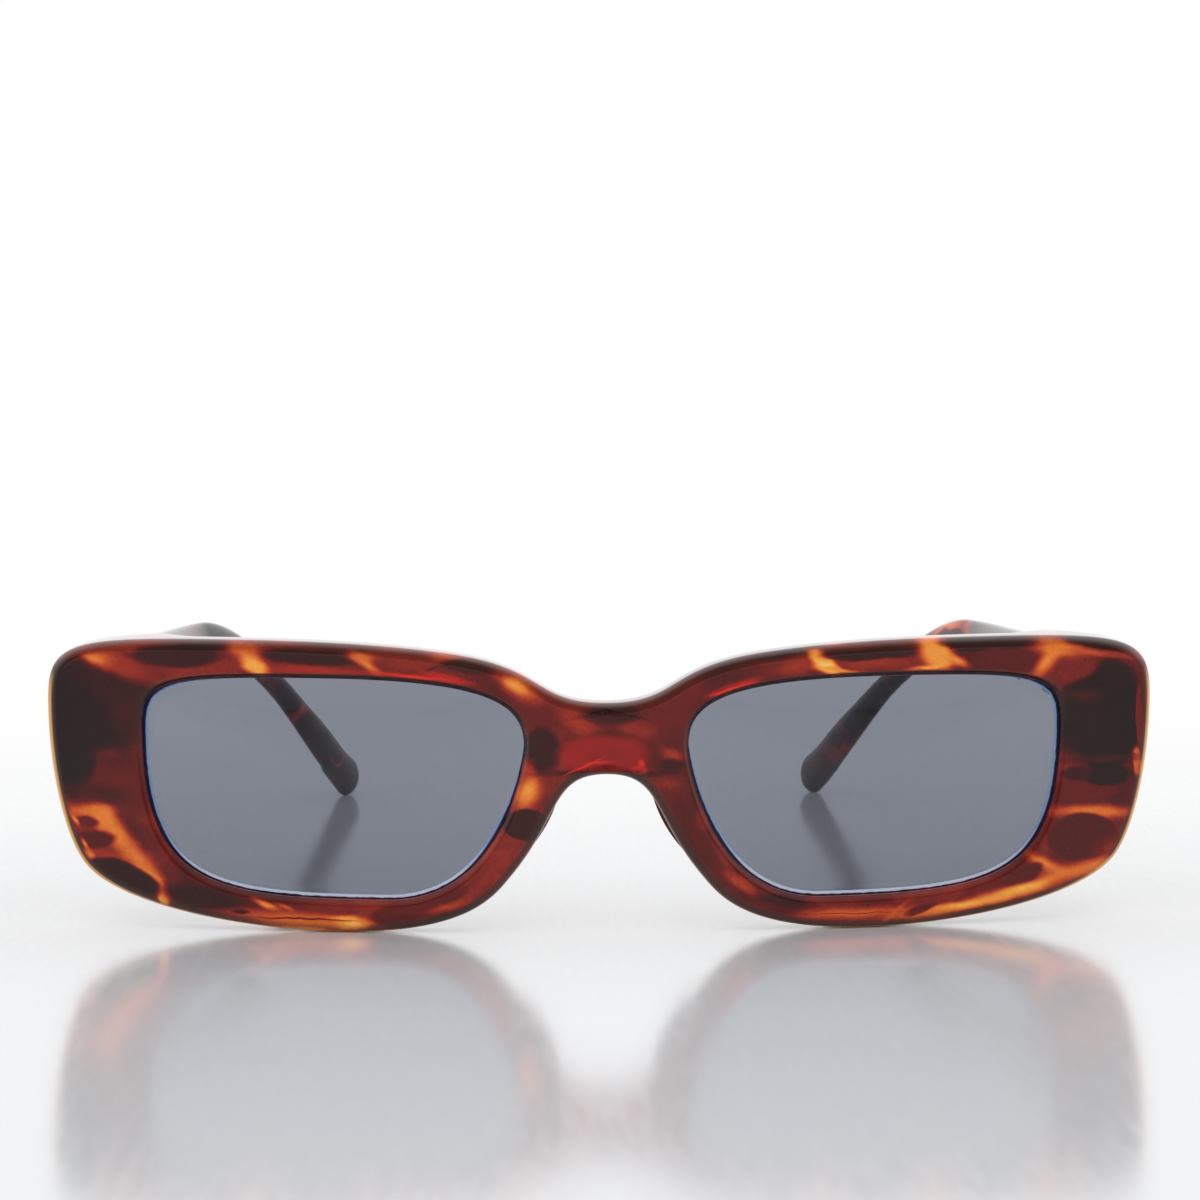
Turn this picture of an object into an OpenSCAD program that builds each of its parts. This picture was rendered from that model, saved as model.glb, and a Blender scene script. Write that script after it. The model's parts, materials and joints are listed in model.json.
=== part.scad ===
// Plastic sunglasses with a deep rectangular front, two flat grey lenses and
// two temples that fold on five-knuckle hinges. Sizes are in millimetres.
// +Z is up, the front faces -Y and the temples run back to +Y. X = 0 is the
// plane of symmetry and the frame stands on Z = 0. Left and right are the
// wearer's own, so the left side is at +X.

/* [Front] */
// Width of one lens opening
lens_w = 48.4; // [44:0.1:54]
// Height of one lens opening
lens_h = 28.2; // [25:0.1:32]
// Distance between the two lens openings
bridge_w = 20.5; // [18:0.1:24]
// Height of the rim above an opening
rim_top = 4.7; // [4:0.1:7]
// Height of the rim below an opening
rim_bottom = 4.2; // [3.6:0.1:7]
// Width of the end piece beside an opening
end_w = 12.3; // [11.5:0.1:15]
// How far the middle of the bridge dips below the top of the front
bridge_dip = 7.7; // [5:0.1:9]
// Height of the bridge at its middle
bridge_h = 9.1; // [7:0.1:11]
// Thickness of the front
front_t = 5; // [4.6:0.1:6]
// Thickness of an end piece at its outer side
end_t = 4.4; // [4:0.1:6]
// Radius of the rounded outer edge
edge_r = 1.4; // [0.8:0.1:1.8]
// Width of the bevel round an opening
bevel = 0.65; // [0.4:0.05:1.2]
// Radius to which the front is bent
face_r = 256; // [200:1:400]
// Forward lean of the front in degrees
tilt = 2.5; // [0:0.1:5]

/* [Lenses] */
// Thickness of a lens
lens_t = 2; // [1.6:0.1:2.4]
// Distance of the lens groove from the front face
groove_y = 2.6; // [2.2:0.1:2.8]
// Depth of the lens groove
groove_d = 0.9; // [0.5:0.05:1.1]
// Width of the lens groove at its mouth
groove_w = 1.6; // [1:0.1:2]
// Wall of the opening that is left behind the groove
back_lip = 0.4; // [0.3:0.05:0.6]
// Width of the bevel from that wall to the back of the front
back_bevel = 1.2; // [0.6:0.05:1.2]
// How far the middle of a lens bulges forward
lens_bulge = 0.9; // [0:0.1:1.2]
// Clearance round a lens in its rim
lens_gap = 0.05; // [0.02:0.01:0.1]

/* [Nose pads] */
// Width of a nose pad
pad_w = 3.7; // [3:0.1:4.2]
// How far a nose pad stands out behind the front
pad_d = 3.8; // [2:0.1:5]
// Half of the distance between the upper ends of the pads
pad_in = 5.9; // [5:0.1:7]

/* [Temples] */
// Distance of a temple's outer face from the side of the front
temple_inset = 1.2; // [0.8:0.1:2]
// Thickness of a temple at the hinge
temple_t = 4.6; // [4.2:0.1:5.2]
// Height of a temple at the hinge
temple_h = 16.5; // [12:0.1:17]
// Distance of a temple's upper edge from the top of the front
temple_drop = 4.5; // [3:0.1:6]
// Length of a temple from the hinge to the ear bend, along Y
shank_l = 81.5; // [75:0.1:95]
// How far a temple has come in at the ear bend
shank_in = 8; // [4:0.1:12]
// Thickness of a temple at the neck behind the ear bend
neck_t = 2.9; // [2.8:0.1:3.6]
// Height of a temple at the neck
neck_h = 3.9; // [3.4:0.1:6]
// Length of the ear piece, along Y
ear_l = 48.6; // [38:0.1:52]
// How far the ear piece comes in
ear_in = 20.1; // [10:0.1:24]
// Thickness of the paddle at the end of a temple
paddle_t = 4; // [3.4:0.1:4.6]
// Height of the paddle
paddle_h = 8.1; // [6:0.1:10]
// Clearance between a temple's end and the end piece
butt_gap = 0.1; // [0.06:0.01:0.2]

/* [Hinges] */
// Height of the hinge's middle above the table
hinge_z = 25.6; // [24:0.1:27]
// Height of one hinge knuckle
knuckle_h = 1.45; // [1.2:0.05:1.6]
// Gap between two knuckles
knuckle_gap = 0.06; // [0.04:0.01:0.12]
// Radius of a knuckle
knuckle_r = 1.2; // [1.05:0.05:1.3]
// Clearance round a knuckle
knuckle_clear = 0.1; // [0.06:0.01:0.2]
// Thickness of a hinge plate
plate_t = 1; // [0.8:0.1:1.2]
// Length of the plate sunk in the end piece, along X
front_plate_l = 4.6; // [4:0.1:5]
// Length of the plate sunk in the temple, along Y
temple_plate_l = 9.6; // [7:0.1:14]
// Radius of the hinge screw
screw_r = 0.6; // [0.5:0.05:0.7]
// Radius of the screw's head
head_r = 0.9; // [0.8:0.05:0.95]
// Height of the screw's head
head_h = 0.6; // [0.4:0.05:0.8]
// Width of the screw's slot
slot_w = 0.3; // [0.2:0.05:0.4]
// Running clearance round the screw
screw_fit = 0.04; // [0.02:0.01:0.06]
// Length of the block that anchors a hinge plate in the temple
anchor_l = 2.4; // [1.6:0.1:3]
// Radius of the core wire in a temple
core_r = 0.6; // [0.4:0.05:0.7]
// Clearance of the metal that is sunk in plastic
sunk_gap = 0.02; // [0.01:0.01:0.05]

/* [Hidden] */

shell_colour = [0.32, 0.11, 0.06];
pad_colour = [0.42, 0.15, 0.07];
lens_colour = [0.30, 0.32, 0.35, 0.75];
metal_colour = [0.78, 0.76, 0.72];
wire_colour = [0.70, 0.70, 0.68];

half_w = bridge_w / 2 + lens_w + end_w;
open_x = bridge_w / 2;
open_far = open_x + lens_w;
open_top = rim_bottom + lens_h;
top_z = open_top + rim_top;
bridge_top = top_z - bridge_dip;
arch_z = bridge_top - bridge_h;
// The bottom of the rim is lowest here.
low_x = open_x + 0.484 * lens_w;
// Rays from this point cut the rim into stations.
eye = [open_x + 0.47 * lens_w, rim_bottom + 0.56 * lens_h];

// Points on a cubic curve between two ends a and d with handles b and c.
function bezier(a, b, c, d, t) = pow(1 - t, 3) * a
    + 3 * t * pow(1 - t, 2) * b + 3 * t * t * (1 - t) * c + t * t * t * d;
function along(a) = [cos(a), sin(a)];
function unit(v) = v / norm(v);
function cross2(a, b) = a[0] * b[1] - a[1] * b[0];
function smooth(u) = let (v = min(1, max(0, u))) v * v * (3 - 2 * v);
function mirrored(p) = [-p[0], p[1], p[2]];

// A row of an outline is [x, z, heading, handle before, handle after]. The
// curve through the rows has counts[k] points from row k up to row k + 1.
function curve(rows, counts) = [for (k = [0:len(counts) - 1])
    let (a = rows[k], b = rows[(k + 1) % len(rows)], n = counts[k])
    for (i = [0:n - 1])
        bezier([a[0], a[1]], [a[0], a[1]] + a[4] * along(a[2]),
            [b[0], b[1]] - b[3] * along(b[2]), [b[0], b[1]], i / n)];

// The opening runs clockwise, seen from the front, from its upper edge.
opening_rows = [
    [open_x + 0.541 * lens_w, open_top, 0, 0.445 * lens_w, 0.442 * lens_w],
    [open_far, rim_bottom + 0.731 * lens_h, -90, 0.234 * lens_h, 0.708 * lens_h],
    [open_x + 0.358 * lens_w, rim_bottom, 180, 0.455 * lens_w, 0.311 * lens_w],
    [open_x, rim_bottom + 0.698 * lens_h, 90, 0.04 * lens_h, 0.196 * lens_h]];
opening = curve(opening_rows, [28, 28, 28, 28]);

// The left half of the outer outline, from the top of the bridge clockwise
// to the top of the arch over the nose.
outline_rows = [
    [0, bridge_top, 0, 0, 0.454 * bridge_w],
    [open_x + 0.2 * lens_w, top_z - 0.188 * bridge_dip, 7.8, 0.264 * lens_w, 0.219 * lens_w],
    [open_x + 0.784 * lens_w, top_z, 0, 0.134 * lens_w, 0.91 * end_w + 0.196 * lens_w],
    [half_w, rim_bottom + 0.854 * lens_h, -90, 0.273 * lens_h, 0.312 * lens_h],
    [half_w - 0.382 * end_w, rim_bottom + 0.122 * lens_h, 228.5, 0.333 * end_w, 0.598 * end_w],
    [low_x, 0, 180, 0.215 * lens_w, 0.335 * lens_w],
    [open_x + 0.039 * lens_w, rim_bottom + 0.106 * lens_h, 129.6, 0.07 * lens_w, 0.362 * lens_h],
    [0, arch_z, 180, 0.341 * bridge_w, 0]];
outline_counts = [8, 14, 14, 7, 12, 11, 10];
outline = concat(curve(outline_rows, outline_counts), [[0, arch_z]]);
// Stations on the plane of symmetry close the half ring across the bridge.
middle_n = 4;
middle = [for (i = [1:middle_n - 1])
    [0, arch_z + (bridge_top - arch_z) * i / middle_n]];
ring = concat(outline, middle);
ring_n = len(ring);
outline_n = len(outline);

function outward(points, i, closed) = let (n = len(points),
    a = points[closed ? (i + n - 1) % n : max(i - 1, 0)],
    b = points[closed ? (i + 1) % n : min(i + 1, n - 1)],
    d = unit(b - a)) [-d[1], d[0]];
function ring_normal(i) = i == 0 ? [0, 1]
    : i == outline_n - 1 ? [0, -1]
    : i >= outline_n ? [-1, 0] : outward(outline, i, false);

// Where the ray from the eye in direction u meets the opening: the distance
// along the ray, and the number of the edge plus the share of it passed.
function meet(u) = [for (k = [0:len(opening) - 1])
    let (p = opening[k] - eye, e = opening[(k + 1) % len(opening)] - opening[k],
        den = cross2(u, e))
    if (abs(den) > 1e-9)
        let (s = cross2(p, e) / den, w = cross2(p, u) / den)
        if (s > 0 && w > -1e-6 && w < 1 + 1e-6) [s, k + min(0.999999, max(0, w))]][0];
lip = [for (p = ring) let (u = unit(p - eye), m = meet(u), k = floor(m[1]),
    a = outward(opening, k, true), b = outward(opening, (k + 1) % len(opening), true))
    [eye + m[0] * u, unit(a + (m[1] - k) * (b - a))]];
function lip_at(i, d) = lip[i][0] + d * lip[i][1];

// The front is bent round a vertical axis behind it and leans forward.
function sag(x) = face_r - sqrt(face_r * face_r - x * x);
stand = (sag(low_x) + edge_r) * sin(tilt);
function place(p, y) = let (w = sag(p[0]) + y)
    [p[0], w * cos(tilt) - p[1] * sin(tilt), w * sin(tilt) + p[1] * cos(tilt) - stand];

// The back of each end piece is one upright plane for the temple to close on.
butt_y = sag(half_w) * cos(tilt) - hinge_z * sin(tilt) + end_t;
function back_y(p) = let (flat_y = (butt_y + p[1] * sin(tilt)) / cos(tilt) - sag(p[0]),
    share = smooth((p[0] - open_far) / (0.57 * end_w) + 1)
        * smooth((p[1] - 0.284 * lens_h) / (0.25 * lens_h)))
    front_t + share * (flat_y - front_t);

// The section of the rim at station i, as [flat point, distance from the
// front face], from the bevel across the front, round the edge and back.
round_n = 3;
function rim_section(i) = let (o = ring[i], n = ring_normal(i),
    cut = i < outline_n ? 1 : 0, f = lip_at(i, bevel), g = o - cut * edge_r * n,
    b = lip_at(i, back_bevel), yo = back_y(o))
    concat([for (u = [0:1 / 3:1]) [f + u * (g - f), 0]],
        [for (k = [1:round_n]) let (a = 90 * k / round_n)
            [g + cut * edge_r * sin(a) * n, edge_r * (1 - cos(a))]],
        [for (k = [0:round_n]) let (a = 90 * k / round_n)
            [g + cut * edge_r * cos(a) * n, yo - edge_r * (1 - sin(a))]],
        [for (u = [2 / 3:-1 / 3:0]) let (p = b + u * (g - b)) [p, back_y(p)]],
        [[lip_at(i, 0), groove_y + groove_w / 2 + back_lip],
            [lip_at(i, 0), groove_y + groove_w / 2],
            [lip_at(i, groove_d), groove_y],
            [lip_at(i, 0), groove_y - groove_w / 2],
            [lip_at(i, 0), bevel]]);
rim = [for (i = [0:ring_n - 1]) rim_section(i)];
rim_m = len(rim[0]);
// Points of a section from edge_a to edge_b lie on the plane of symmetry
// at the stations of the middle.
edge_a = 3;
edge_b = edge_a + 2 * round_n + 1;

function in_middle(i) = i == 0 || i >= outline_n - 1;
function rim_id(side, i, j) = side == 1 && in_middle(i) && j >= edge_a && j <= edge_b
    ? i * rim_m + j : (side * ring_n + i) * rim_m + j;
function quad(a, b, c, d, side) = side == 0 ? [[a, b, c], [a, c, d]] : [[c, b, a], [d, c, a]];

module front_body() {
    half = [for (s = rim) for (q = s) place(q[0], q[1])];
    faces = [for (side = [0, 1]) for (i = [0:ring_n - 1]) for (j = [0:rim_m - 1])
        let (i2 = (i + 1) % ring_n, j2 = (j + 1) % rim_m,
            open = in_middle(i) && in_middle(i2) && j >= edge_a && j < edge_b)
        if (!open) for (t = quad(rim_id(side, i, j), rim_id(side, i, j2),
            rim_id(side, i2, j2), rim_id(side, i2, j), side)) t];
    polyhedron(concat(half, [for (p = half) mirrored(p)]), faces);
}

module both_sides() {
    children();
    mirror([1, 0, 0]) children();
}

module front_frame() {
    color(shell_colour) settle() difference() {
        front_body();
        both_sides() front_pocket();
    }
}

// A lens follows the bend of the front, bulges a little more, and has a
// pointed edge that sits in the groove.
lens_rings = 4;
function lens_point(i, share, y) = let (p = eye + share * (lip_at(i, -lens_gap) - eye))
    [p, y - lens_bulge * (1 - share * share)];
module lens() {
    front_y = groove_y - lens_t / 2;
    rows = concat([for (k = [1:lens_rings]) [k / lens_rings, front_y]],
        [[0, groove_y - groove_w / 2 + 2 * lens_gap], [-1, groove_y],
            [0, groove_y + groove_w / 2 - 2 * lens_gap]],
        [for (k = [lens_rings:-1:1]) [k / lens_rings, front_y + lens_t]]);
    m = len(rows);
    points = concat([for (i = [0:ring_n - 1]) for (r = rows)
        let (q = r[0] > 0 ? lens_point(i, r[0], r[1])
            : [lip_at(i, r[0] < 0 ? groove_d - 2 * lens_gap : -lens_gap), r[1]])
        place(q[0], q[1])],
        [place(eye, front_y - lens_bulge), place(eye, front_y + lens_t - lens_bulge)]);
    faces = concat(
        [for (i = [0:ring_n - 1]) for (j = [0:m - 2]) let (i2 = (i + 1) % ring_n)
            for (t = quad(i * m + j, i * m + j + 1, i2 * m + j + 1, i2 * m + j, 0)) t],
        [for (i = [0:ring_n - 1]) let (i2 = (i + 1) % ring_n)
            [ring_n * m, i * m, i2 * m]],
        [for (i = [0:ring_n - 1]) let (i2 = (i + 1) % ring_n)
            [ring_n * m + 1, i2 * m + m - 1, i * m + m - 1]]);
    polyhedron(points, faces);
}

module lens_left() {
    color(lens_colour) settle() lens();
}

module lens_right() {
    color(lens_colour) settle() mirror([1, 0, 0]) lens();
}

// A nose pad is a low rounded ridge on the back of the nasal rim.
pad_n = 14;
pad_m = 8;
function pad_line(t) = bezier([pad_in + pad_w / 2, bridge_top - 0.319 * bridge_h],
    [1.034 * pad_in, arch_z - 0.067 * lens_h], [1.424 * pad_in, arch_z - 0.227 * lens_h],
    [1.283 * open_x, rim_bottom + 0.16 * lens_h], t);
module nose_pad() {
    rings = [for (k = [0:pad_n]) let (t = k / pad_n, c = pad_line(t),
        d = unit(pad_line(min(1, t + 0.01)) - pad_line(max(0, t - 0.01))),
        n = [-d[1], d[0]], swell = sqrt(max(0, 1 - pow(2 * t - 1, 4))),
        w = pad_w / 2 * (0.45 + 0.55 * swell), h = pad_d * (0.1 + 0.9 * swell * smooth(1.6 * t)))
        [for (j = [0:pad_m]) let (a = 180 * j / pad_m)
            place(c + w * cos(a) * n, front_t + sunk_gap + h * pow(sin(a), 0.8))]];
    n = pad_m + 1;
    points = [for (r = rings) for (p = r) p];
    faces = concat([for (k = [0:pad_n - 1]) for (j = [0:pad_m]) let (j2 = (j + 1) % n)
        for (t = quad(k * n + j, k * n + j2, (k + 1) * n + j2, (k + 1) * n + j, 0)) t],
        [for (j = [1:pad_m - 1]) [0, j + 1, j]],
        [for (j = [1:pad_m - 1]) let (b = pad_n * n) [b, b + j, b + j + 1]]);
    polyhedron(points, faces);
}

module nose_pad_left() {
    color(pad_colour) settle() nose_pad();
}

module nose_pad_right() {
    color(pad_colour) settle() mirror([1, 0, 0]) nose_pad();
}

// The upper edge of a temple is a smooth line in space, and its section
// hangs below it.
temple_x = half_w - temple_inset - temple_t / 2;
inner_x = temple_x - temple_t / 2;
start_y = butt_y + butt_gap;
bend_y = start_y + shank_l;
tip_y = bend_y + ear_l;
neck_y = bend_y + 0.3 * ear_l;
temple_top = top_z - temple_drop - stand;
bend_heading = [-0.46, 0.9, 0];
tip_heading = [-0.23, 0.72, -0.26];
function temple_edge(t, tip_z) = let (
    a = [temple_x, start_y, temple_top], c = [temple_x - shank_in, bend_y, temple_top + 0.004 * shank_l],
    e = [temple_x - shank_in - ear_in, tip_y, tip_z])
    t <= 1 ? bezier(a, a + [0, 0.36 * shank_l, 0], c - 0.11 * shank_l * bend_heading, c, t)
    : bezier(c, c + 0.28 * ear_l * bend_heading, e - 0.58 * ear_l * tip_heading, e, t - 1);
// The shank tapers to the neck, and the ear piece widens to the paddle.
function shank_share(y, power) = pow(max(0, 1 - (y - start_y) / (neck_y - start_y)), power);
function paddle_share(y) = pow(max(0, (y - bend_y - 0.48 * ear_l) / (0.52 * ear_l)), 1.36);
function temple_height(y) = neck_h + (temple_h - neck_h) * shank_share(y, 1.44)
    + (paddle_h - neck_h) * paddle_share(y);
function temple_thickness(y) = neck_t + (temple_t - neck_t) * shank_share(y, 0.8)
    + (paddle_t - neck_t) * paddle_share(y);
// Flat sides near the hinge turn into a round section at the neck.
function roundness(y) = smooth((y - start_y - 0.55 * shank_l) / (0.5 * shank_l));

// One station of a temple: centre, direction of its thickness and of its
// height, thickness and height.
function station(t, tip_z) = let (p = temple_edge(t, tip_z),
    d = unit(temple_edge(min(2, t + 0.002), tip_z) - temple_edge(max(0, t - 0.002), tip_z)),
    d0 = t == 0 ? [0, 1, 0] : d, side = unit([d0[1], -d0[0], 0]), up = cross(side, d0),
    h = temple_height(p[1]))
    [p - up * h / 2, side, up, temple_thickness(p[1]), h, d0, roundness(p[1])];
// The end is closed by rings that shrink along a half ellipse.
shank_n = 15;
ear_n = 13;
cap_n = 5;
corner_n = 3;
function temple_stations(tip_z) = concat(
    [for (k = [0:shank_n - 1]) station(k / shank_n, tip_z)],
    [for (k = [0:ear_n]) station(1 + k / ear_n, tip_z)],
    [for (k = [1:cap_n]) let (s = station(2, tip_z), a = 90 * k / (cap_n + 0.35))
        [s[0] + s[5] * paddle_h / 2 * sin(a), s[1], s[2], s[3] * pow(cos(a), 0.6),
            s[4] * cos(a), s[5], s[6]]]);
// A section is a blend of a rectangle with round corners and an ellipse.
function section(s) = let (r = min(s[3], s[4]) * 0.36, w = s[3] / 2 - r, h = s[4] / 2 - r)
    [for (q = [0:3]) for (k = [0:corner_n]) let (a = 90 * q + 90 * k / corner_n,
        b = 90 * q + 90 * (k + 0.5) / (corner_n + 1),
        sx = q == 0 || q == 3 ? 1 : -1, sz = q < 2 ? 1 : -1,
        flat = [sx * w + r * cos(a), sz * h + r * sin(a)],
        oval = [s[3] / 2 * cos(b), s[4] / 2 * sin(b)],
        c = flat + s[6] * (oval - flat))
        s[0] + c[0] * s[1] + c[1] * s[2]];
function lowest(stations) = min([for (s = stations) for (p = section(s)) p[2]]);
first_tip_z = 0.9 * paddle_h;
tip_z = first_tip_z - lowest(temple_stations(first_tip_z));
stations = temple_stations(tip_z);
// The origin is under the middle of the whole object.
mid_y = (min([for (s = rim) for (q = s) place(q[0], q[1])[1]])
    + max([for (s = stations) for (p = section(s)) p[1]])) / 2;
module settle() {
    translate([0, -mid_y, 0]) children();
}

// A closed skin over rings of points that all have the same count.
module skin(rings) {
    n = len(rings[0]);
    m = len(rings);
    faces = concat([for (k = [0:m - 2]) for (j = [0:n - 1]) let (j2 = (j + 1) % n)
        for (t = quad(k * n + j, k * n + j2, (k + 1) * n + j2, (k + 1) * n + j, 0)) t],
        [[for (j = [n - 1:-1:0]) j]],
        [[for (j = [0:n - 1]) (m - 1) * n + j]]);
    polyhedron([for (r = rings) for (p = r) p], faces);
}

// The core wire starts at the anchor of the hinge plate and runs through
// the middle of the temple to the neck and a little past it.
core_m = 8;
core_start = start_y + temple_plate_l;
core_end = neck_y + 0.45 * (tip_y - neck_y);
core_inside = [for (s = stations) if (s[0][1] > core_start + core_r && s[0][1] < core_end) s];
core_first = let (s = core_inside[0], d = s[5] * (core_start - s[0][1]) / s[5][1])
    [s[0] + d, s[1], s[2]];
module core(r, extra) {
    skin([for (s = concat([[core_first[0] - [0, extra, 0], core_first[1], core_first[2]]],
        core_inside)) [for (j = [0:core_m - 1]) let (a = 360 * j / core_m)
        s[0] + r * cos(a) * s[1] + r * sin(a) * s[2]]]);
}

module temple() {
    difference() {
        skin([for (s = stations) section(s)]);
        temple_pocket();
        core(core_r + sunk_gap, sunk_gap);
    }
}

module temple_left() {
    color(shell_colour) settle() temple();
}

module temple_right() {
    color(shell_colour) settle() mirror([1, 0, 0]) temple();
}

module core_wire_left() {
    color(wire_colour) settle() core(core_r, 0);
}

module core_wire_right() {
    color(wire_colour) settle() mirror([1, 0, 0]) core(core_r, 0);
}

// The pin stands just inside the temple and just behind the end piece.
knuckle_n = 5;
pin_x = inner_x - knuckle_r - knuckle_clear;
pin_y = butt_y + knuckle_r + knuckle_clear;
hinge_h = knuckle_n * knuckle_h + (knuckle_n - 1) * knuckle_gap;
hinge_bottom = hinge_z - hinge_h / 2;
bore_r = screw_r + screw_fit;
function knuckle_z(k) = hinge_bottom + k * (knuckle_h + knuckle_gap);

// The plates sunk in the plastic. Each grows by the gap to cut its pocket.
module front_plate(gap) {
    translate([pin_x + knuckle_r - front_plate_l - gap, butt_y - plate_t - gap, hinge_bottom - gap])
        cube([front_plate_l + 2 * gap, plate_t + 2 * gap, hinge_h + 2 * gap]);
    translate([pin_x - knuckle_r - gap, butt_y - 2.4 * plate_t - gap, hinge_bottom + knuckle_h - gap])
        cube([knuckle_r + 2 * gap, 1.8 * plate_t + 2 * gap, hinge_h - 2 * knuckle_h + 2 * gap]);
}

module front_pocket() {
    front_plate(sunk_gap);
}

module temple_plate(gap) {
    translate([inner_x - gap, start_y - gap, hinge_bottom - gap])
        cube([plate_t + 2 * gap, temple_plate_l + 2 * gap, hinge_h + 2 * gap]);
    translate([inner_x + plate_t / 2 - gap, core_start - anchor_l - gap, core_first[0][2] - 1.5 * core_r - gap])
        cube([core_first[0][0] - inner_x - plate_t / 2 + core_r + 2 * gap, anchor_l + 2 * gap,
            3 * core_r + 2 * gap]);
}

module temple_pocket() {
    translate([-2 * plate_t, 0, 0]) temple_plate(sunk_gap);
    translate([-plate_t, 0, 0]) temple_plate(sunk_gap);
    temple_plate(sunk_gap);
}

module front_hinge() {
    difference() {
        union() {
            front_plate(0);
            for (k = [0:2:knuckle_n - 1]) {
                translate([pin_x - knuckle_r, butt_y - plate_t, knuckle_z(k)])
                    cube([2 * knuckle_r, pin_y - butt_y + plate_t, knuckle_h]);
                translate([pin_x, pin_y, knuckle_z(k)])
                    cylinder(r = knuckle_r, h = knuckle_h, $fn = 48);
            }
        }
        translate([pin_x, pin_y, hinge_bottom - 1])
            cylinder(r = bore_r, h = hinge_h + 2, $fn = 48);
        translate([pin_x, pin_y, hinge_bottom + hinge_h - head_h])
            cylinder(r = head_r + screw_fit, h = head_h + 1, $fn = 48);
    }
}

module temple_hinge() {
    difference() {
        union() {
            temple_plate(0);
            for (k = [1:2:knuckle_n - 1]) {
                translate([pin_x, pin_y - knuckle_r, knuckle_z(k)])
                    cube([inner_x - pin_x + plate_t / 2, 2 * knuckle_r, knuckle_h]);
                translate([pin_x, pin_y, knuckle_z(k)])
                    cylinder(r = knuckle_r, h = knuckle_h, $fn = 48);
            }
        }
        translate([pin_x, pin_y, hinge_bottom - 1])
            cylinder(r = bore_r, h = hinge_h + 2, $fn = 48);
    }
}

slot_d = head_h / 2;
module hinge_screw() {
    top = hinge_bottom + hinge_h;
    difference() {
        translate([pin_x, pin_y, hinge_bottom]) union() {
            cylinder(r = screw_r, h = hinge_h - head_h / 2, $fn = 96);
            translate([0, 0, hinge_h - head_h])
                cylinder(r = head_r, h = head_h, $fn = 96);
        }
        translate([pin_x - slot_w / 2, pin_y - 2 * head_r, top - slot_d])
            cube([slot_w, 4 * head_r, 2 * slot_d]);
    }
}

module front_hinge_left() {
    color(metal_colour) settle() front_hinge();
}

module front_hinge_right() {
    color(metal_colour) settle() mirror([1, 0, 0]) front_hinge();
}

module temple_hinge_left() {
    color(metal_colour) settle() temple_hinge();
}

module temple_hinge_right() {
    color(metal_colour) settle() mirror([1, 0, 0]) temple_hinge();
}

module hinge_screw_left() {
    color(metal_colour) settle() hinge_screw();
}

module hinge_screw_right() {
    color(metal_colour) settle() mirror([1, 0, 0]) hinge_screw();
}

front_frame();
lens_left();
lens_right();
nose_pad_left();
nose_pad_right();
front_hinge_left();
front_hinge_right();
hinge_screw_left();
hinge_screw_right();
temple_left();
temple_right();
temple_hinge_left();
temple_hinge_right();
core_wire_left();
core_wire_right();
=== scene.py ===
"""Looks of the plastic sunglasses: tortoiseshell front and temples, grey lenses, metal hinges.

Sizes are in millimetres in the object's own frame, and go into the meshes as metres. +X is the
wearer's left, +Y runs from the lenses back along the temples, and the table is Z = 0.
"""

import json
import math

import bpy
import numpy as np
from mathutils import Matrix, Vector


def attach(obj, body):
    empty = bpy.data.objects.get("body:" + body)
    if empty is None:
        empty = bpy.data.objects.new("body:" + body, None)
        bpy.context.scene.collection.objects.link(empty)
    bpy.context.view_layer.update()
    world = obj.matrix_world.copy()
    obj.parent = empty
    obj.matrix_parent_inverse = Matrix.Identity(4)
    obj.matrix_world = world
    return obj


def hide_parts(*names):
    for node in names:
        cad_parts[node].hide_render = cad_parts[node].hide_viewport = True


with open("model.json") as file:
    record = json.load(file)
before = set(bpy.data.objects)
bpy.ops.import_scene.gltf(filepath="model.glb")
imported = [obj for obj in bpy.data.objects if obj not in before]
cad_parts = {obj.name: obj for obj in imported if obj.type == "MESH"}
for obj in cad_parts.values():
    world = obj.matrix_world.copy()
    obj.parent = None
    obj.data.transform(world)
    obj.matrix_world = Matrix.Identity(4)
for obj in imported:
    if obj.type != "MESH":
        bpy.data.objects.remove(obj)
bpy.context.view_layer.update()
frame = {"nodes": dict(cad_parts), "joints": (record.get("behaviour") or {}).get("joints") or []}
MM = 0.001

# The front and the lenses, with the same driving sizes as the solids
LENS_W, LENS_H, BRIDGE_W, RIM_TOP, RIM_BOTTOM, END_W = 48.4, 28.2, 20.5, 4.7, 4.2, 12.3
BRIDGE_DIP, BRIDGE_H, FRONT_T, END_T, EDGE_R, BEVEL = 7.7, 9.1, 5.0, 4.4, 1.4, 0.65
FACE_R, TILT = 256.0, math.radians(2.5)
LENS_T, GROOVE_Y, GROOVE_D, GROOVE_W, LENS_BULGE, LENS_GAP = 2.0, 2.6, 0.9, 1.6, 0.9, 0.05
BACK_LIP, BACK_BEVEL = 0.4, 1.2
# Nose pads
PAD_W, PAD_D, PAD_IN, GLUE_GAP = 3.7, 3.8, 5.9, 0.02
# Temples
TEMPLE_INSET, TEMPLE_T, TEMPLE_H, TEMPLE_DROP = 1.2, 4.6, 16.5, 4.5
SHANK_L, SHANK_IN, NECK_T, NECK_H = 81.5, 8.0, 2.9, 3.9
EAR_L, EAR_IN, PADDLE_T, PADDLE_H, BUTT_GAP = 48.6, 20.1, 4.0, 8.1, 0.1
# Hinges
HINGE_Z, KNUCKLE_R, KNUCKLE_CLEAR = 25.6, 1.2, 0.1
# The plastic stands this much behind the metal plates that are sunk in it.
FLUSH = 0.03

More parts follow.
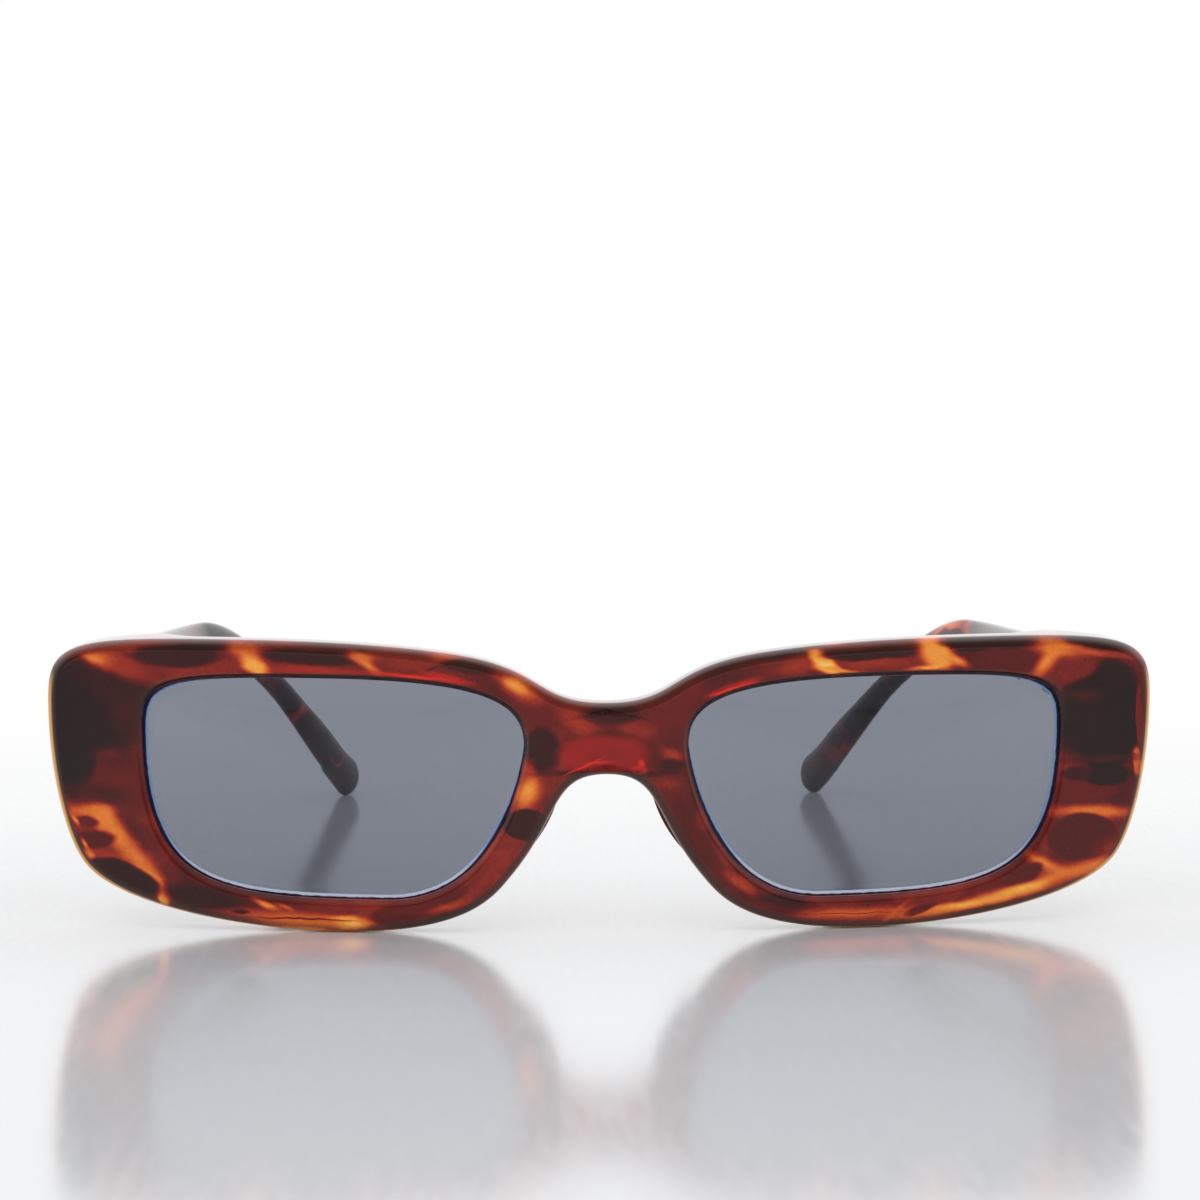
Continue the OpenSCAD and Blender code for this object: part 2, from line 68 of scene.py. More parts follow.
OPEN_X = BRIDGE_W / 2
OPEN_FAR = OPEN_X + LENS_W
HALF_W = OPEN_FAR + END_W
OPEN_TOP = RIM_BOTTOM + LENS_H
TOP_Z = OPEN_TOP + RIM_TOP
BRIDGE_TOP = TOP_Z - BRIDGE_DIP
ARCH_Z = BRIDGE_TOP - BRIDGE_H
LOW_X = OPEN_X + 0.484 * LENS_W
EYE = np.array([OPEN_X + 0.47 * LENS_W, RIM_BOTTOM + 0.56 * LENS_H])


# Curves

def cubic(a, b, c, d, t):
    """Points at the shares t of the cubic curve from a to d with handles b and c."""
    t = np.asarray(t, float)[:, None]
    a, b, c, d = (np.asarray(p, float) for p in (a, b, c, d))
    return (1 - t) ** 3 * a + 3 * t * (1 - t) ** 2 * b + 3 * t * t * (1 - t) * c + t ** 3 * d


def heading(degrees):
    """The unit vector in the flat front that points that many degrees from +X."""
    turn = math.radians(degrees)
    return np.array([math.cos(turn), math.sin(turn)])


def line_through(rows, counts):
    """A chain of cubic curves: row k is (x, z, heading, handle before, handle after), and
    counts[k] points are spread evenly in the curve's own share from row k up to row k + 1."""
    parts = []
    for k, count in enumerate(counts):
        a, b = rows[k], rows[(k + 1) % len(rows)]
        start, end = np.array(a[:2]), np.array(b[:2])
        parts.append(cubic(start, start + a[4] * heading(a[2]), end - b[3] * heading(b[2]), end,
                           np.arange(count) / count))
    return np.vstack(parts)


def smooth(u):
    """0 below 0, 1 above 1, and 3u^2 - 2u^3 between them."""
    u = np.clip(u, 0.0, 1.0)
    return u * u * (3 - 2 * u)


def unit(v):
    """The vectors v, each divided by its length."""
    return v / (np.linalg.norm(v, axis=-1, keepdims=True) + 1e-12)


def left_of(points, closed):
    """Unit normals to the left of a line: its central differences turned by a quarter."""
    if closed:
        along = np.roll(points, -1, 0) - np.roll(points, 1, 0)
    else:
        along = np.gradient(points, axis=0)
    along = unit(along)
    return np.stack([-along[:, 1], along[:, 0]], 1)


def sag(x):
    """How far the bent front lies behind its middle at x."""
    return FACE_R - np.sqrt(FACE_R ** 2 - x * x)


STAND = (sag(LOW_X) + EDGE_R) * math.sin(TILT)


def place(flat, depth):
    """A point (x, z) of the flat front at a depth behind its face, once the front is bent
    round an upright axis, leans forward and stands on the table."""
    w = sag(flat[..., 0]) + depth
    return np.stack([flat[..., 0], w * math.cos(TILT) - flat[..., 1] * math.sin(TILT),
                     w * math.sin(TILT) + flat[..., 1] * math.cos(TILT) - STAND], -1)


BUTT_Y = sag(HALF_W) * math.cos(TILT) - HINGE_Z * math.sin(TILT) + END_T
START_Y = BUTT_Y + BUTT_GAP
BEND_Y = START_Y + SHANK_L
TIP_Y = BEND_Y + EAR_L
NECK_Y = BEND_Y + 0.3 * EAR_L
TEMPLE_X = HALF_W - TEMPLE_INSET - TEMPLE_T / 2
TEMPLE_TOP = TOP_Z - TEMPLE_DROP - STAND
PIN_Y = BUTT_Y + KNUCKLE_R + KNUCKLE_CLEAR
# The frame's hinge joint says where the pin is once the object is centred on its origin.
MID_Y = PIN_Y - next(j for j in frame["joints"] if j["name"] == "fold_left")["pos_m"][1] / MM


# Meshes

def grid_faces(rows, columns, wrap_rows, wrap_columns):
    """Quads over a grid of points counted row by row, closed round where it wraps."""
    i = np.arange(rows if wrap_rows else rows - 1)[:, None]
    j = np.arange(columns if wrap_columns else columns - 1)[None]
    i2, j2 = (i + 1) % rows, (j + 1) % columns
    corners = [i * columns + j, i * columns + j2, i2 * columns + j2, i2 * columns + j]
    return np.stack([c.ravel() for c in np.broadcast_arrays(*corners)], 1)


def mirrored(points):
    """The points on the other side of the plane of symmetry."""
    return np.asarray(points) * [-1, 1, 1]


def new_piece(name, points, faces, body, slot, node, sharp, side=1):
    """Makes a mesh of points in millimetres before centring, and puts it on its body. Side -1
    makes the mirror image for the wearer's right. Edges over sharp degrees stay hard."""
    if side < 0:
        points, faces = mirrored(points), [list(f)[::-1] for f in faces]
    points = (np.asarray(points, float).reshape(-1, 3) - [0, MID_Y, 0]) * MM
    mesh = bpy.data.meshes.new(name)
    mesh.from_pydata(points.tolist(), [], [list(f) for f in faces])
    mesh.validate()
    mesh.shade_smooth()
    mesh.set_sharp_from_angle(angle=math.radians(sharp))
    piece = bpy.data.objects.new(name, mesh)
    bpy.context.scene.collection.objects.link(piece)
    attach(piece, body)
    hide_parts(node)
    return piece


def keep_mark(piece, name, values):
    """Stores one number for each point of a piece."""
    values = np.asarray(values, np.float32).ravel()
    piece.data.attributes.new(name, "FLOAT", "POINT").data.foreach_set("value", values)


def closed_tube(points):
    """The points and faces of a row of rings, joined one to the next and closed at both ends."""
    rows, around = points.shape[:2]
    faces = grid_faces(rows, around, False, True)[:, ::-1].tolist()
    faces += [list(range(around)), list(range((rows - 1) * around, rows * around))[::-1]]
    return points.reshape(-1, 3), faces


# The front

OPENING_ROWS = [
    (OPEN_X + 0.541 * LENS_W, OPEN_TOP, 0, 0.445 * LENS_W, 0.442 * LENS_W),
    (OPEN_FAR, RIM_BOTTOM + 0.731 * LENS_H, -90, 0.234 * LENS_H, 0.708 * LENS_H),
    (OPEN_X + 0.358 * LENS_W, RIM_BOTTOM, 180, 0.455 * LENS_W, 0.311 * LENS_W),
    (OPEN_X, RIM_BOTTOM + 0.698 * LENS_H, 90, 0.04 * LENS_H, 0.196 * LENS_H)]
OUTLINE_ROWS = [
    (0, BRIDGE_TOP, 0, 0, 0.454 * BRIDGE_W),
    (OPEN_X + 0.2 * LENS_W, TOP_Z - 0.188 * BRIDGE_DIP, 7.8, 0.264 * LENS_W, 0.219 * LENS_W),
    (OPEN_X + 0.784 * LENS_W, TOP_Z, 0, 0.134 * LENS_W, 0.91 * END_W + 0.196 * LENS_W),
    (HALF_W, RIM_BOTTOM + 0.854 * LENS_H, -90, 0.273 * LENS_H, 0.312 * LENS_H),
    (HALF_W - 0.382 * END_W, RIM_BOTTOM + 0.122 * LENS_H, 228.5, 0.333 * END_W, 0.598 * END_W),
    (LOW_X, 0, 180, 0.215 * LENS_W, 0.335 * LENS_W),
    (OPEN_X + 0.039 * LENS_W, RIM_BOTTOM + 0.106 * LENS_H, 129.6, 0.07 * LENS_W, 0.362 * LENS_H),
    (0, ARCH_Z, 180, 0.341 * BRIDGE_W, 0)]
# Points of each curve of the opening and of the outline, and down the middle of the bridge
OPENING_COUNTS = [200] * 4
OUTLINE_COUNTS = [40, 70, 70, 35, 60, 55, 50]
MIDDLE_N = 16
# Steps across the face and round the edge, and the radius of the small softened corners
ACROSS_N, ROUNDING_N, SOFT_R = 14, 12, 0.12

opening = line_through(OPENING_ROWS, OPENING_COUNTS)
outline = np.vstack([line_through(OUTLINE_ROWS, OUTLINE_COUNTS), [[0, ARCH_Z]]])
OUTLINE_N = len(outline)
middle_share = np.arange(1, MIDDLE_N)[:, None] / MIDDLE_N
middle = [0, ARCH_Z] + middle_share * [0, BRIDGE_TOP - ARCH_Z]
ring = np.vstack([outline, middle])
ring_normal = np.vstack([left_of(outline, False), np.tile([-1.0, 0.0], (MIDDLE_N - 1, 1))])
ring_normal[0], ring_normal[OUTLINE_N - 1] = (0, 1), (0, -1)
is_outline = (np.arange(len(ring)) < OUTLINE_N)[:, None].astype(float)

# The opening as distance and normal over the angle seen from the eye point.
seen = np.arctan2(*(opening - EYE).T[::-1])
order = np.argsort(seen)
ring_angle = np.arctan2(*(ring - EYE).T[::-1])
opening_normal = left_of(opening, True)


def round_the_eye(values):
    """Values along the opening, read where the rays from the eye to the ring cross it."""
    return np.interp(ring_angle, seen[order], values[order], period=2 * math.pi)


lip_reach = round_the_eye(np.linalg.norm(opening - EYE, axis=1))
lip = EYE + lip_reach[:, None] * unit(ring - EYE)
lip_normal = unit(np.stack([round_the_eye(opening_normal[:, k]) for k in (0, 1)], 1))


def back_y(flat):
    """Depth of the back: the front's thickness, and on the end piece an upright plane."""
    level = (BUTT_Y - FLUSH + flat[:, 1] * math.sin(TILT)) / math.cos(TILT) - sag(flat[:, 0])
    share = smooth((flat[:, 0] - OPEN_FAR) / (0.57 * END_W) + 1) * smooth(
        (flat[:, 1] - 0.284 * LENS_H) / (0.25 * LENS_H))
    return FRONT_T + share * (level - FRONT_T)


def soft_corners(path, radii):
    """Each corner of a path of stacked points becomes three points of a small parabola that
    starts and ends its radius away from the corner; a radius of 0 keeps the corner."""
    result = []
    for k, corner in enumerate(path):
        if not radii[k]:
            result.append(corner)
            continue
        before, after = path[k - 1] - corner, path[(k + 1) % len(path)] - corner
        reach = np.minimum(radii[k], 0.45 * np.linalg.norm(before, axis=1))[:, None]
        a, b = corner + reach * unit(before), corner + reach * unit(after)
        result += [a, 0.25 * a + 0.5 * corner + 0.25 * b, b]
    return result


def rim_sections():
    """All sections of one half of the front as [station, step, (x, z, depth)]: across the
    face, round the outer edge, over the back and down the bevel to the lens groove. With them,
    for each step: the share of the way from the opening to the outer edge, how much it belongs
    to the part of the rounding that takes painted shade, how far the rounding has turned, and how
    much it belongs to the bevel."""
    def at(flat, depth):
        return np.column_stack([flat, np.broadcast_to(depth, len(flat))])
    face_in = lip + BEVEL * lip_normal
    face_out = ring - is_outline * EDGE_R * ring_normal
    back_in = lip + BACK_BEVEL * lip_normal
    y_out = back_y(ring)
    path, radii, marks = [], [], []

    def step(flat, depth, share, radius=0.0, band=0.0, turned=0.0, bevel=(0.0,)):
        path.append(at(flat, depth))
        radii.append(radius)
        for k in range(3 if radius else 1):
            marks.append((share, band, turned, bevel[min(k, len(bevel) - 1)]))

    step(face_in, 0.0, 0.0, SOFT_R, bevel=(1.0, 0.6, 0.0))
    for k in range(1, ACROSS_N):
        step(face_in + k / ACROSS_N * (face_out - face_in), 0.0, k / ACROSS_N)
    step(face_out + 0.2 * unit(face_in - face_out), 0.0, 0.99)
    for k in range(ROUNDING_N + 1):
        u = k / ROUNDING_N
        a = math.radians(90 * u)
        step(face_out + is_outline * EDGE_R * math.sin(a) * ring_normal,
             EDGE_R * (1 - math.cos(a)), 1.0, band=float(smooth(5 * u - 0.2)), turned=u)
    for past_rounding in (0.3, 0.7):
        step(ring, EDGE_R + past_rounding, 1.0)
    for k in range(ROUNDING_N + 1):
        a = math.radians(90 * k / ROUNDING_N)
        step(face_out + is_outline * EDGE_R * math.cos(a) * ring_normal,
             y_out - EDGE_R * (1 - math.sin(a)), 1.0)
    for k in range(ACROSS_N - 1, 0, -1):
        flat = back_in + k / ACROSS_N * (face_out - back_in)
        step(flat, back_y(flat), k / ACROSS_N)
    step(back_in, back_y(back_in), 0.0, SOFT_R)
    step(lip, GROOVE_Y + GROOVE_W / 2 + BACK_LIP, 0.0, SOFT_R)
    step(lip, GROOVE_Y + GROOVE_W / 2, 0.0)
    step(lip + GROOVE_D * lip_normal, GROOVE_Y, 0.0)
    step(lip, GROOVE_Y - GROOVE_W / 2, 0.0, bevel=(1.0,))
    step(lip, BEVEL, 0.0, SOFT_R, bevel=(1.0,))
    return np.stack(soft_corners(path, radii), 1), np.array(marks)


sections, marks = rim_sections()
STATIONS, STEPS = sections.shape[:2]
outward_share, band, turned, bevel = marks.T
half = place(sections[..., :2], sections[..., 2])
# Steps that are on the plane of symmetry at the middle stations.
on_plane = outward_share == 1.0
in_middle = (np.arange(STATIONS) == 0) | (np.arange(STATIONS) >= OUTLINE_N - 1)
shared = in_middle[:, None] & on_plane[None]
number = np.arange(STATIONS * STEPS).reshape(STATIONS, STEPS)
other = number + STATIONS * STEPS
other[shared] = number[shared]
quads = grid_faces(STATIONS, STEPS, True, True)
inside = shared.ravel()[quads].all(1)
left_half = quads[~inside][:, ::-1]
right_half = other.ravel()[left_half][:, ::-1]
front_points = np.vstack([half.reshape(-1, 3), mirrored(half.reshape(-1, 3))])
front_shell = new_piece("front_shell", front_points, np.vstack([left_half, right_half]), "front",
                        "shell", "front_frame", sharp=38)
# How strongly each painted edge shows at a station: by the way it faces, and beside the nose.
# A fine line of painted glow on the rounding stands in for light from behind that comes through
# the plastic, and starts sooner at the bent sides. The line starts and ends over a share FADE of
# the rounding's quarter turn. The band on the rounding and the bevel get painted shade.
FADE, GLOW_END = 0.14, 0.86
outward, upward, lip_up = ring_normal[:, 0], ring_normal[:, 1], lip_normal[:, 1]
glow_start = 0.58 - 0.24 * smooth(1.6 * outward)
past_start = smooth((turned - glow_start[:, None]) / FADE)
glow = past_start * smooth((GLOW_END - turned) / FADE)
beside_nose = smooth((LOW_X - 4 - ring[:, 0]) / 12) * (upward < 0.3)
top_shine = smooth(2 * upward - 0.6)[:, None] * on_plane
# Painted shade: a dark band on the outer rounding, strongest where the rounding faces down, ending
# where the glow line starts.
dark_band = (0.85 - 0.3 * smooth(1.6 * upward - 0.2))[:, None] * band * (1 - past_start)
# Painted glow: a pale amber line on the rounding, none along the top and weak beside the nose.
bright_edge = (smooth(0.9 - 2 * upward) * (1 - 0.8 * beside_nose))[:, None] * glow
# Painted shade on the bevel round the opening, strongest at the top of the opening where it faces down.
shaded_bevel = (0.15 + 0.85 * smooth(1.3 * lip_up))[:, None] * bevel
for name, values in (("top_shine", top_shine), ("dark_band", dark_band),
                     ("bright_edge", bright_edge), ("shaded_bevel", shaded_bevel)):
    keep_mark(front_shell, name, np.concatenate([values.ravel(), values.ravel()]))


def lens_sheet(name, side, node):
    """A lens: rings from the middle to the rim at shares of the way, bulged forward by a
    paraboloid, then a ground chamfer that is wide at the outer side and the bottom, a pointed
    edge in the groove and the same rings back, all bent and placed as the front is."""
    rings = 14
    chamfer_min, chamfer_more, chamfer_d = 0.08, 0.42, 0.1
    face = GROOVE_Y - LENS_T / 2
    rim_line = lip - LENS_GAP * lip_normal
    shares = np.arange(1, rings + 1) / rings
    outer_or_low = np.maximum(smooth(1.8 * lip_normal[:, 0]), smooth(-1.8 * lip_normal[:, 1]))
    front_line = rim_line - (chamfer_min + chamfer_more * outer_or_low)[:, None] * lip_normal
    front_side = [place(EYE + u * (front_line - EYE), face - LENS_BULGE * (1 - u ** 2))
                  for u in shares]
    edge = [place(rim_line, face + chamfer_d),
            place(rim_line, GROOVE_Y - GROOVE_W / 2 + 2 * LENS_GAP),
            place(lip + (GROOVE_D - 2 * LENS_GAP) * lip_normal, GROOVE_Y),
            place(rim_line, GROOVE_Y + GROOVE_W / 2 - 2 * LENS_GAP)]
    back_side = [place(EYE + u * (rim_line - EYE), face + LENS_T - LENS_BULGE * (1 - u ** 2))
                 for u in shares[::-1]]
    points = np.stack(front_side + edge + back_side, 0)
    count, around = points.shape[:2]
    poles = [place(EYE, face - LENS_BULGE), place(EYE, face + LENS_T - LENS_BULGE)]
    faces = grid_faces(count, around, False, True).tolist()
    j = np.arange(around)
    j2 = (j + 1) % around
    faces += np.stack([np.full(around, count * around), j2, j], 1).tolist()
    last = (count - 1) * around
    faces += np.stack([np.full(around, count * around + 1), last + j, last + j2], 1).tolist()
    points = np.vstack([points.reshape(-1, 3), poles])
    lens = new_piece(name, points, faces, "front", "lens", node, sharp=20, side=side)
    # The five rows of faces round the edge take the second material.
    row = np.arange(len(faces)) // around
    ground = (row >= rings - 1) & (row < rings + len(edge))
    lens.data.polygons.foreach_set("material_index", ground.astype(np.int32))
    # A ring of painted glow along the inner line of the chamfer stands in for light that comes out
    # there.
    painted_glow_ring = np.zeros(len(points))
    painted_glow_ring[(rings - 1) * around:rings * around] = 1
    keep_mark(lens, "edge_light", painted_glow_ring)
    return lens


def nose_pad(name, side, node):
    """A rounded ridge: half circles carried along a cubic line on the back of the rim, whose
    height and width swell as the square root of 1 - (2t - 1)^4 at the share t of the line."""
    t = np.linspace(0, 1, 60)
    line = cubic([PAD_IN + PAD_W / 2, BRIDGE_TOP - 0.319 * BRIDGE_H],
                 [1.034 * PAD_IN, ARCH_Z - 0.067 * LENS_H], [1.424 * PAD_IN, ARCH_Z - 0.227 * LENS_H],
                 [1.283 * OPEN_X, RIM_BOTTOM + 0.16 * LENS_H], t)
    n = left_of(line, False)
    swell = np.sqrt(np.clip(1 - (2 * t - 1) ** 4, 0, None))
    wide = PAD_W / 2 * (0.45 + 0.55 * swell)
    high = PAD_D * (0.1 + 0.9 * swell * smooth(1.6 * t))
    a = np.linspace(0, math.pi, 25)
    flat = line[:, None] + (wide[:, None] * np.cos(a))[..., None] * n[:, None]
    depth = FRONT_T + GLUE_GAP + high[:, None] * np.sin(a) ** 0.8
    tube = closed_tube(place(flat, depth))
    return new_piece(name, *tube, "front", "pad", node, sharp=50, side=side)


# The temples

BEND_HEADING = np.array([-0.46, 0.9, 0.0])
TIP_HEADING = np.array([-0.23, 0.72, -0.26])
# The paddle's end: the length that gets lower and by what share, and the closing sections
LOWER_L, LOWER_SHARE, CAP_L, CAP_N = 14, 0.2, 0.4 * PADDLE_H, 14
CORNER_N = 9


def temple_surface(tip_z):
    """Sections hung from the upper edge, a chain of two cubic curves from the hinge over the
    ear to the tip. Each is a blend of a rectangle with round corners and an ellipse. The last
    part of the paddle loses some height from above, and the end is closed by sections that
    shrink along a half ellipse."""
    start = np.array([TEMPLE_X, START_Y, TEMPLE_TOP])
    bend = np.array([TEMPLE_X - SHANK_IN, BEND_Y, TEMPLE_TOP + 0.004 * SHANK_L])
    tip = np.array([TEMPLE_X - SHANK_IN - EAR_IN, TIP_Y, tip_z])
    shank = cubic(start, start + [0, 0.36 * SHANK_L, 0], bend - 0.11 * SHANK_L * BEND_HEADING, bend,
                  np.arange(90) / 90)
    ear = cubic(bend, bend + 0.28 * EAR_L * BEND_HEADING, tip - 0.58 * EAR_L * TIP_HEADING,
                tip, np.linspace(0, 1, 70))
    edge = np.vstack([shank, ear])
    along = unit(np.gradient(edge, axis=0))
    along[0] = (0, 1, 0)
    side = unit(np.stack([along[:, 1], -along[:, 0], 0 * along[:, 0]], 1))
    up = np.cross(side, along)
    y = edge[:, 1]
    shank_share = np.clip(1 - (y - START_Y) / (NECK_Y - START_Y), 0, 1)
    paddle_share = np.clip((y - BEND_Y - 0.48 * EAR_L) / (0.52 * EAR_L), 0, 1) ** 1.36
    high = NECK_H + (TEMPLE_H - NECK_H) * shank_share ** 1.44 + (PADDLE_H - NECK_H) * paddle_share
    thick = NECK_T + (TEMPLE_T - NECK_T) * shank_share ** 0.8 + (PADDLE_T - NECK_T) * paddle_share
    thick = thick - FLUSH
    oval_share = smooth((y - START_Y - 0.55 * SHANK_L) / (0.5 * SHANK_L))
    lower_high = high * (1 - LOWER_SHARE * smooth((y - TIP_Y + LOWER_L) / LOWER_L))
    centre = edge - up * (high - lower_high / 2)[:, None] + side * FLUSH / 2
    high = lower_high
    cap = np.radians(90 * np.arange(1, CAP_N + 1) / (CAP_N + 0.35))
    centre = np.vstack([centre, centre[-1] + along[-1] * (CAP_L * np.sin(cap))[:, None]])
    side, up = (np.vstack([v, np.tile(v[-1], (CAP_N, 1))]) for v in (side, up))
    high = np.concatenate([high, high[-1] * np.cos(cap) ** 0.8])
    thick = np.concatenate([thick, thick[-1] * np.cos(cap) ** 0.6])
    oval_share = np.concatenate([oval_share, np.full(CAP_N, oval_share[-1])])
    oval_y = np.concatenate([y, np.full(CAP_N, TIP_Y)])
    k = np.tile(np.arange(CORNER_N), 4)
    q = np.repeat(np.arange(4), CORNER_N)
    a = np.radians(90 * (q + k / (CORNER_N - 1)))
    b = np.radians(90 * (q + (k + 0.5) / CORNER_N))
    sx = np.where((q == 0) | (q == 3), 1, -1)
    sz = np.where(q < 2, 1, -1)
    r = (0.36 * np.minimum(thick, high) * (1 + 0.35 * smooth((oval_y - BEND_Y) / EAR_L)))[:, None]
    box_x = sx * (thick[:, None] / 2 - r) + r * np.cos(a)
    box_z = sz * (high[:, None] / 2 - r) + r * np.sin(a)
    s = oval_share[:, None]
    across = box_x + s * (thick[:, None] / 2 * np.cos(b) - box_x)
    upward = box_z + s * (high[:, None] / 2 * np.sin(b) - box_z)
    return centre[:, None] + across[..., None] * side[:, None] + upward[..., None] * up[:, None]


def temple(name, side, node, body):
    """A temple, lowered until its tip is on the table."""
    first = temple_surface(0.0)
    tube = closed_tube(temple_surface(-first[..., 2].min()))
    return new_piece(name, *tube, body, "shell", node, sharp=50, side=side)


left_lens = lens_sheet("left_lens_sheet", 1, "lens_left")
right_lens = lens_sheet("right_lens_sheet", -1, "lens_right")
left_pad = nose_pad("left_pad", 1, "nose_pad_left")
right_pad = nose_pad("right_pad", -1, "nose_pad_right")
left_arm = temple("left_arm", 1, "temple_left", "left_temple")
right_arm = temple("right_arm", -1, "temple_right", "right_temple")


# Shader words

# So long in depth that a patch of the flat front reaches through the whole bent front
ANY_DEPTH = 1e5


class Signal:
    """A socket of a material; arithmetic on it adds Math nodes."""

    def __init__(self, finish, socket):
        self.finish, self.socket = finish, socket

    def math(self, operation, *values):
        """The result of a Math node on this signal and further ones or numbers."""
        inputs = dict(enumerate((self,) + values))
        return self.finish.add("ShaderNodeMath", {"operation": operation}, inputs)[0]

    def __add__(self, other):
        return self.math("ADD", other)

    def __sub__(self, other):
        return self.math("SUBTRACT", other)

    def __rsub__(self, other):
        return self.finish.add("ShaderNodeMath", {"operation": "SUBTRACT"}, {0: other, 1: self})[0]

    def __mul__(self, other):
        return self.math("MULTIPLY", other)

    __radd__, __rmul__ = __add__, __mul__

    def highest(self, other):
        """The larger of two signals."""
        return self.math("MAXIMUM", other)

    def ramp(self, low, high, to_low=0.0, to_high=1.0):
        """Smooth step from to_low at low to to_high at high."""
        return self.finish.add("ShaderNodeMapRange", {"interpolation_type": "SMOOTHSTEP"}, {
            "Value": self, "From Min": low, "From Max": high, "To Min": to_low, "To Max": to_high})[0]


class Outputs:
    """The outputs of a node, each read as a Signal."""

    def __init__(self, finish, node):
        self.finish, self.node = finish, node

    def __getitem__(self, key):
        return Signal(self.finish, self.node.outputs[key])


class Finish:
    """A material of one Principled shader whose constants are set on its own sockets."""

    def __init__(self, name, **constants):
        self.material = bpy.data.materials.new(name)
        self.material.use_nodes = True
        self.nodes = self.material.node_tree.nodes
        self.shader = self.nodes["Principled BSDF"]
        for socket, value in constants.items():
            self.shader.inputs[socket.replace("_", " ")].default_value = value

    def add(self, kind, settings=None, inputs=None):
        """A node of that type: its settings first, then the values or links of its sockets."""
        node = self.nodes.new(kind)
        for key, value in (settings or {}).items():
            if key == "stops":
                band = node.color_ramp
                while len(band.elements) < len(value):
                    band.elements.new(0.5)
                for element, (position, paint) in zip(band.elements, value):
                    element.position, element.color = position, paint
            else:
                setattr(node, key, value)
        for key, value in (inputs or {}).items():
            if isinstance(value, Signal):
                self.material.node_tree.links.new(value.socket, node.inputs[key])
            else:
                node.inputs[key].default_value = value
        return Outputs(self, node)

    def feed(self, socket, signal):
        """Links a signal to a socket of the shader."""
        self.material.node_tree.links.new(signal.socket, self.shader.inputs[socket])

    def coords(self):
        """Object coordinates in millimetres."""
        raw = self.add("ShaderNodeTexCoord")["Object"]
        return self.add("ShaderNodeVectorMath", {"operation": "SCALE"}, {0: raw, "Scale": 1 / MM})[0]

    def parts(self, vector):
        """The x, y and z of a vector."""
        split = self.add("ShaderNodeSeparateXYZ", {}, {0: vector})
        return split["X"], split["Y"], split["Z"]

    def vector(self, operation, a, b):
        """The result of a Vector Math node on two vectors."""
        return self.add("ShaderNodeVectorMath", {"operation": operation}, {0: a, 1: b})[0]

    def patch(self, vector, x, z, long, high, turn, soft):
        """1 in an ellipse of the flat front and 0 outside, over an edge soft millimetres wide
        on its short axis; turn is in degrees, counted up from the wearer's left."""
        lifted = z * math.cos(TILT) + sag(x) * math.sin(TILT) - STAND
        local = self.add("ShaderNodeMapping", {"vector_type": "TEXTURE"}, {
            "Vector": vector, "Location": (x, 0, lifted), "Rotation": (0, math.radians(-turn), 0),
            "Scale": (long, ANY_DEPTH, high)})[0]
        away = self.add("ShaderNodeVectorMath", {"operation": "LENGTH"}, {0: local})["Value"]
        edge = min(0.75 * soft / high, 0.95)
        return away.ramp(1 + edge, 1 - edge)

    def mix(self, share, a, b):
        """a turned into b by a share, as numbers or, where b has four parts, as colours."""
        kind, first = ("RGBA", 6) if isinstance(b, tuple) else ("FLOAT", 2)
        mixed = self.add("ShaderNodeMix", {"data_type": kind}, {0: share, first: a, first + 1: b})
        return mixed[2 if kind == "RGBA" else 0]

    def mark(self, name):
        """A number that the mesh keeps for each point."""
        return self.add("ShaderNodeAttribute", {"attribute_name": name})["Fac"]

    def noise(self, vector, scale, detail=2.0, roughness=0.5):
        """The outputs of a Noise Texture: 0 is its value and Color is a vector."""
        return self.add("ShaderNodeTexNoise", {}, {
            "Vector": vector, "Scale": scale, "Detail": detail, "Roughness": roughness})

    def wandered(self, vector, scale, detail, reach):
        """A vector moved to and fro by up to half the reach on each axis, by a noise."""
        drift = self.vector("SUBTRACT", self.noise(vector, scale, detail)["Color"], (0.5, 0.5, 0.5))
        return self.vector("ADD", vector, self.vector("MULTIPLY", drift, (reach, reach, reach)))

    def polish(self, place_mm, dullest):
        """A hand-polished plastic: roughness from 0.05 to the dullest, and faint waves."""
        self.feed("Roughness", self.noise(place_mm, 0.5, 3.0)[0].ramp(0.35, 0.7, 0.05, dullest))
        self.bump(self.noise(place_mm, 0.35, 2.0)[0], 0.12)

    def bump(self, height, strength, distance=0.1 * MM):
        """Feeds the shader's normal with a relief of that height."""
        self.feed("Normal", self.add("ShaderNodeBump", {}, {
            "Height": height, "Strength": strength, "Distance": distance})["Normal"])


def colour(red, green, blue):
    """A screen colour of 0 to 255 as linear light with full alpha."""
    def linear(c):
        c /= 255
        return c / 12.92 if c <= 0.04045 else ((c + 0.055) / 1.055) ** 2.4
    return (linear(red), linear(green), linear(blue), 1.0)


# Tortoiseshell

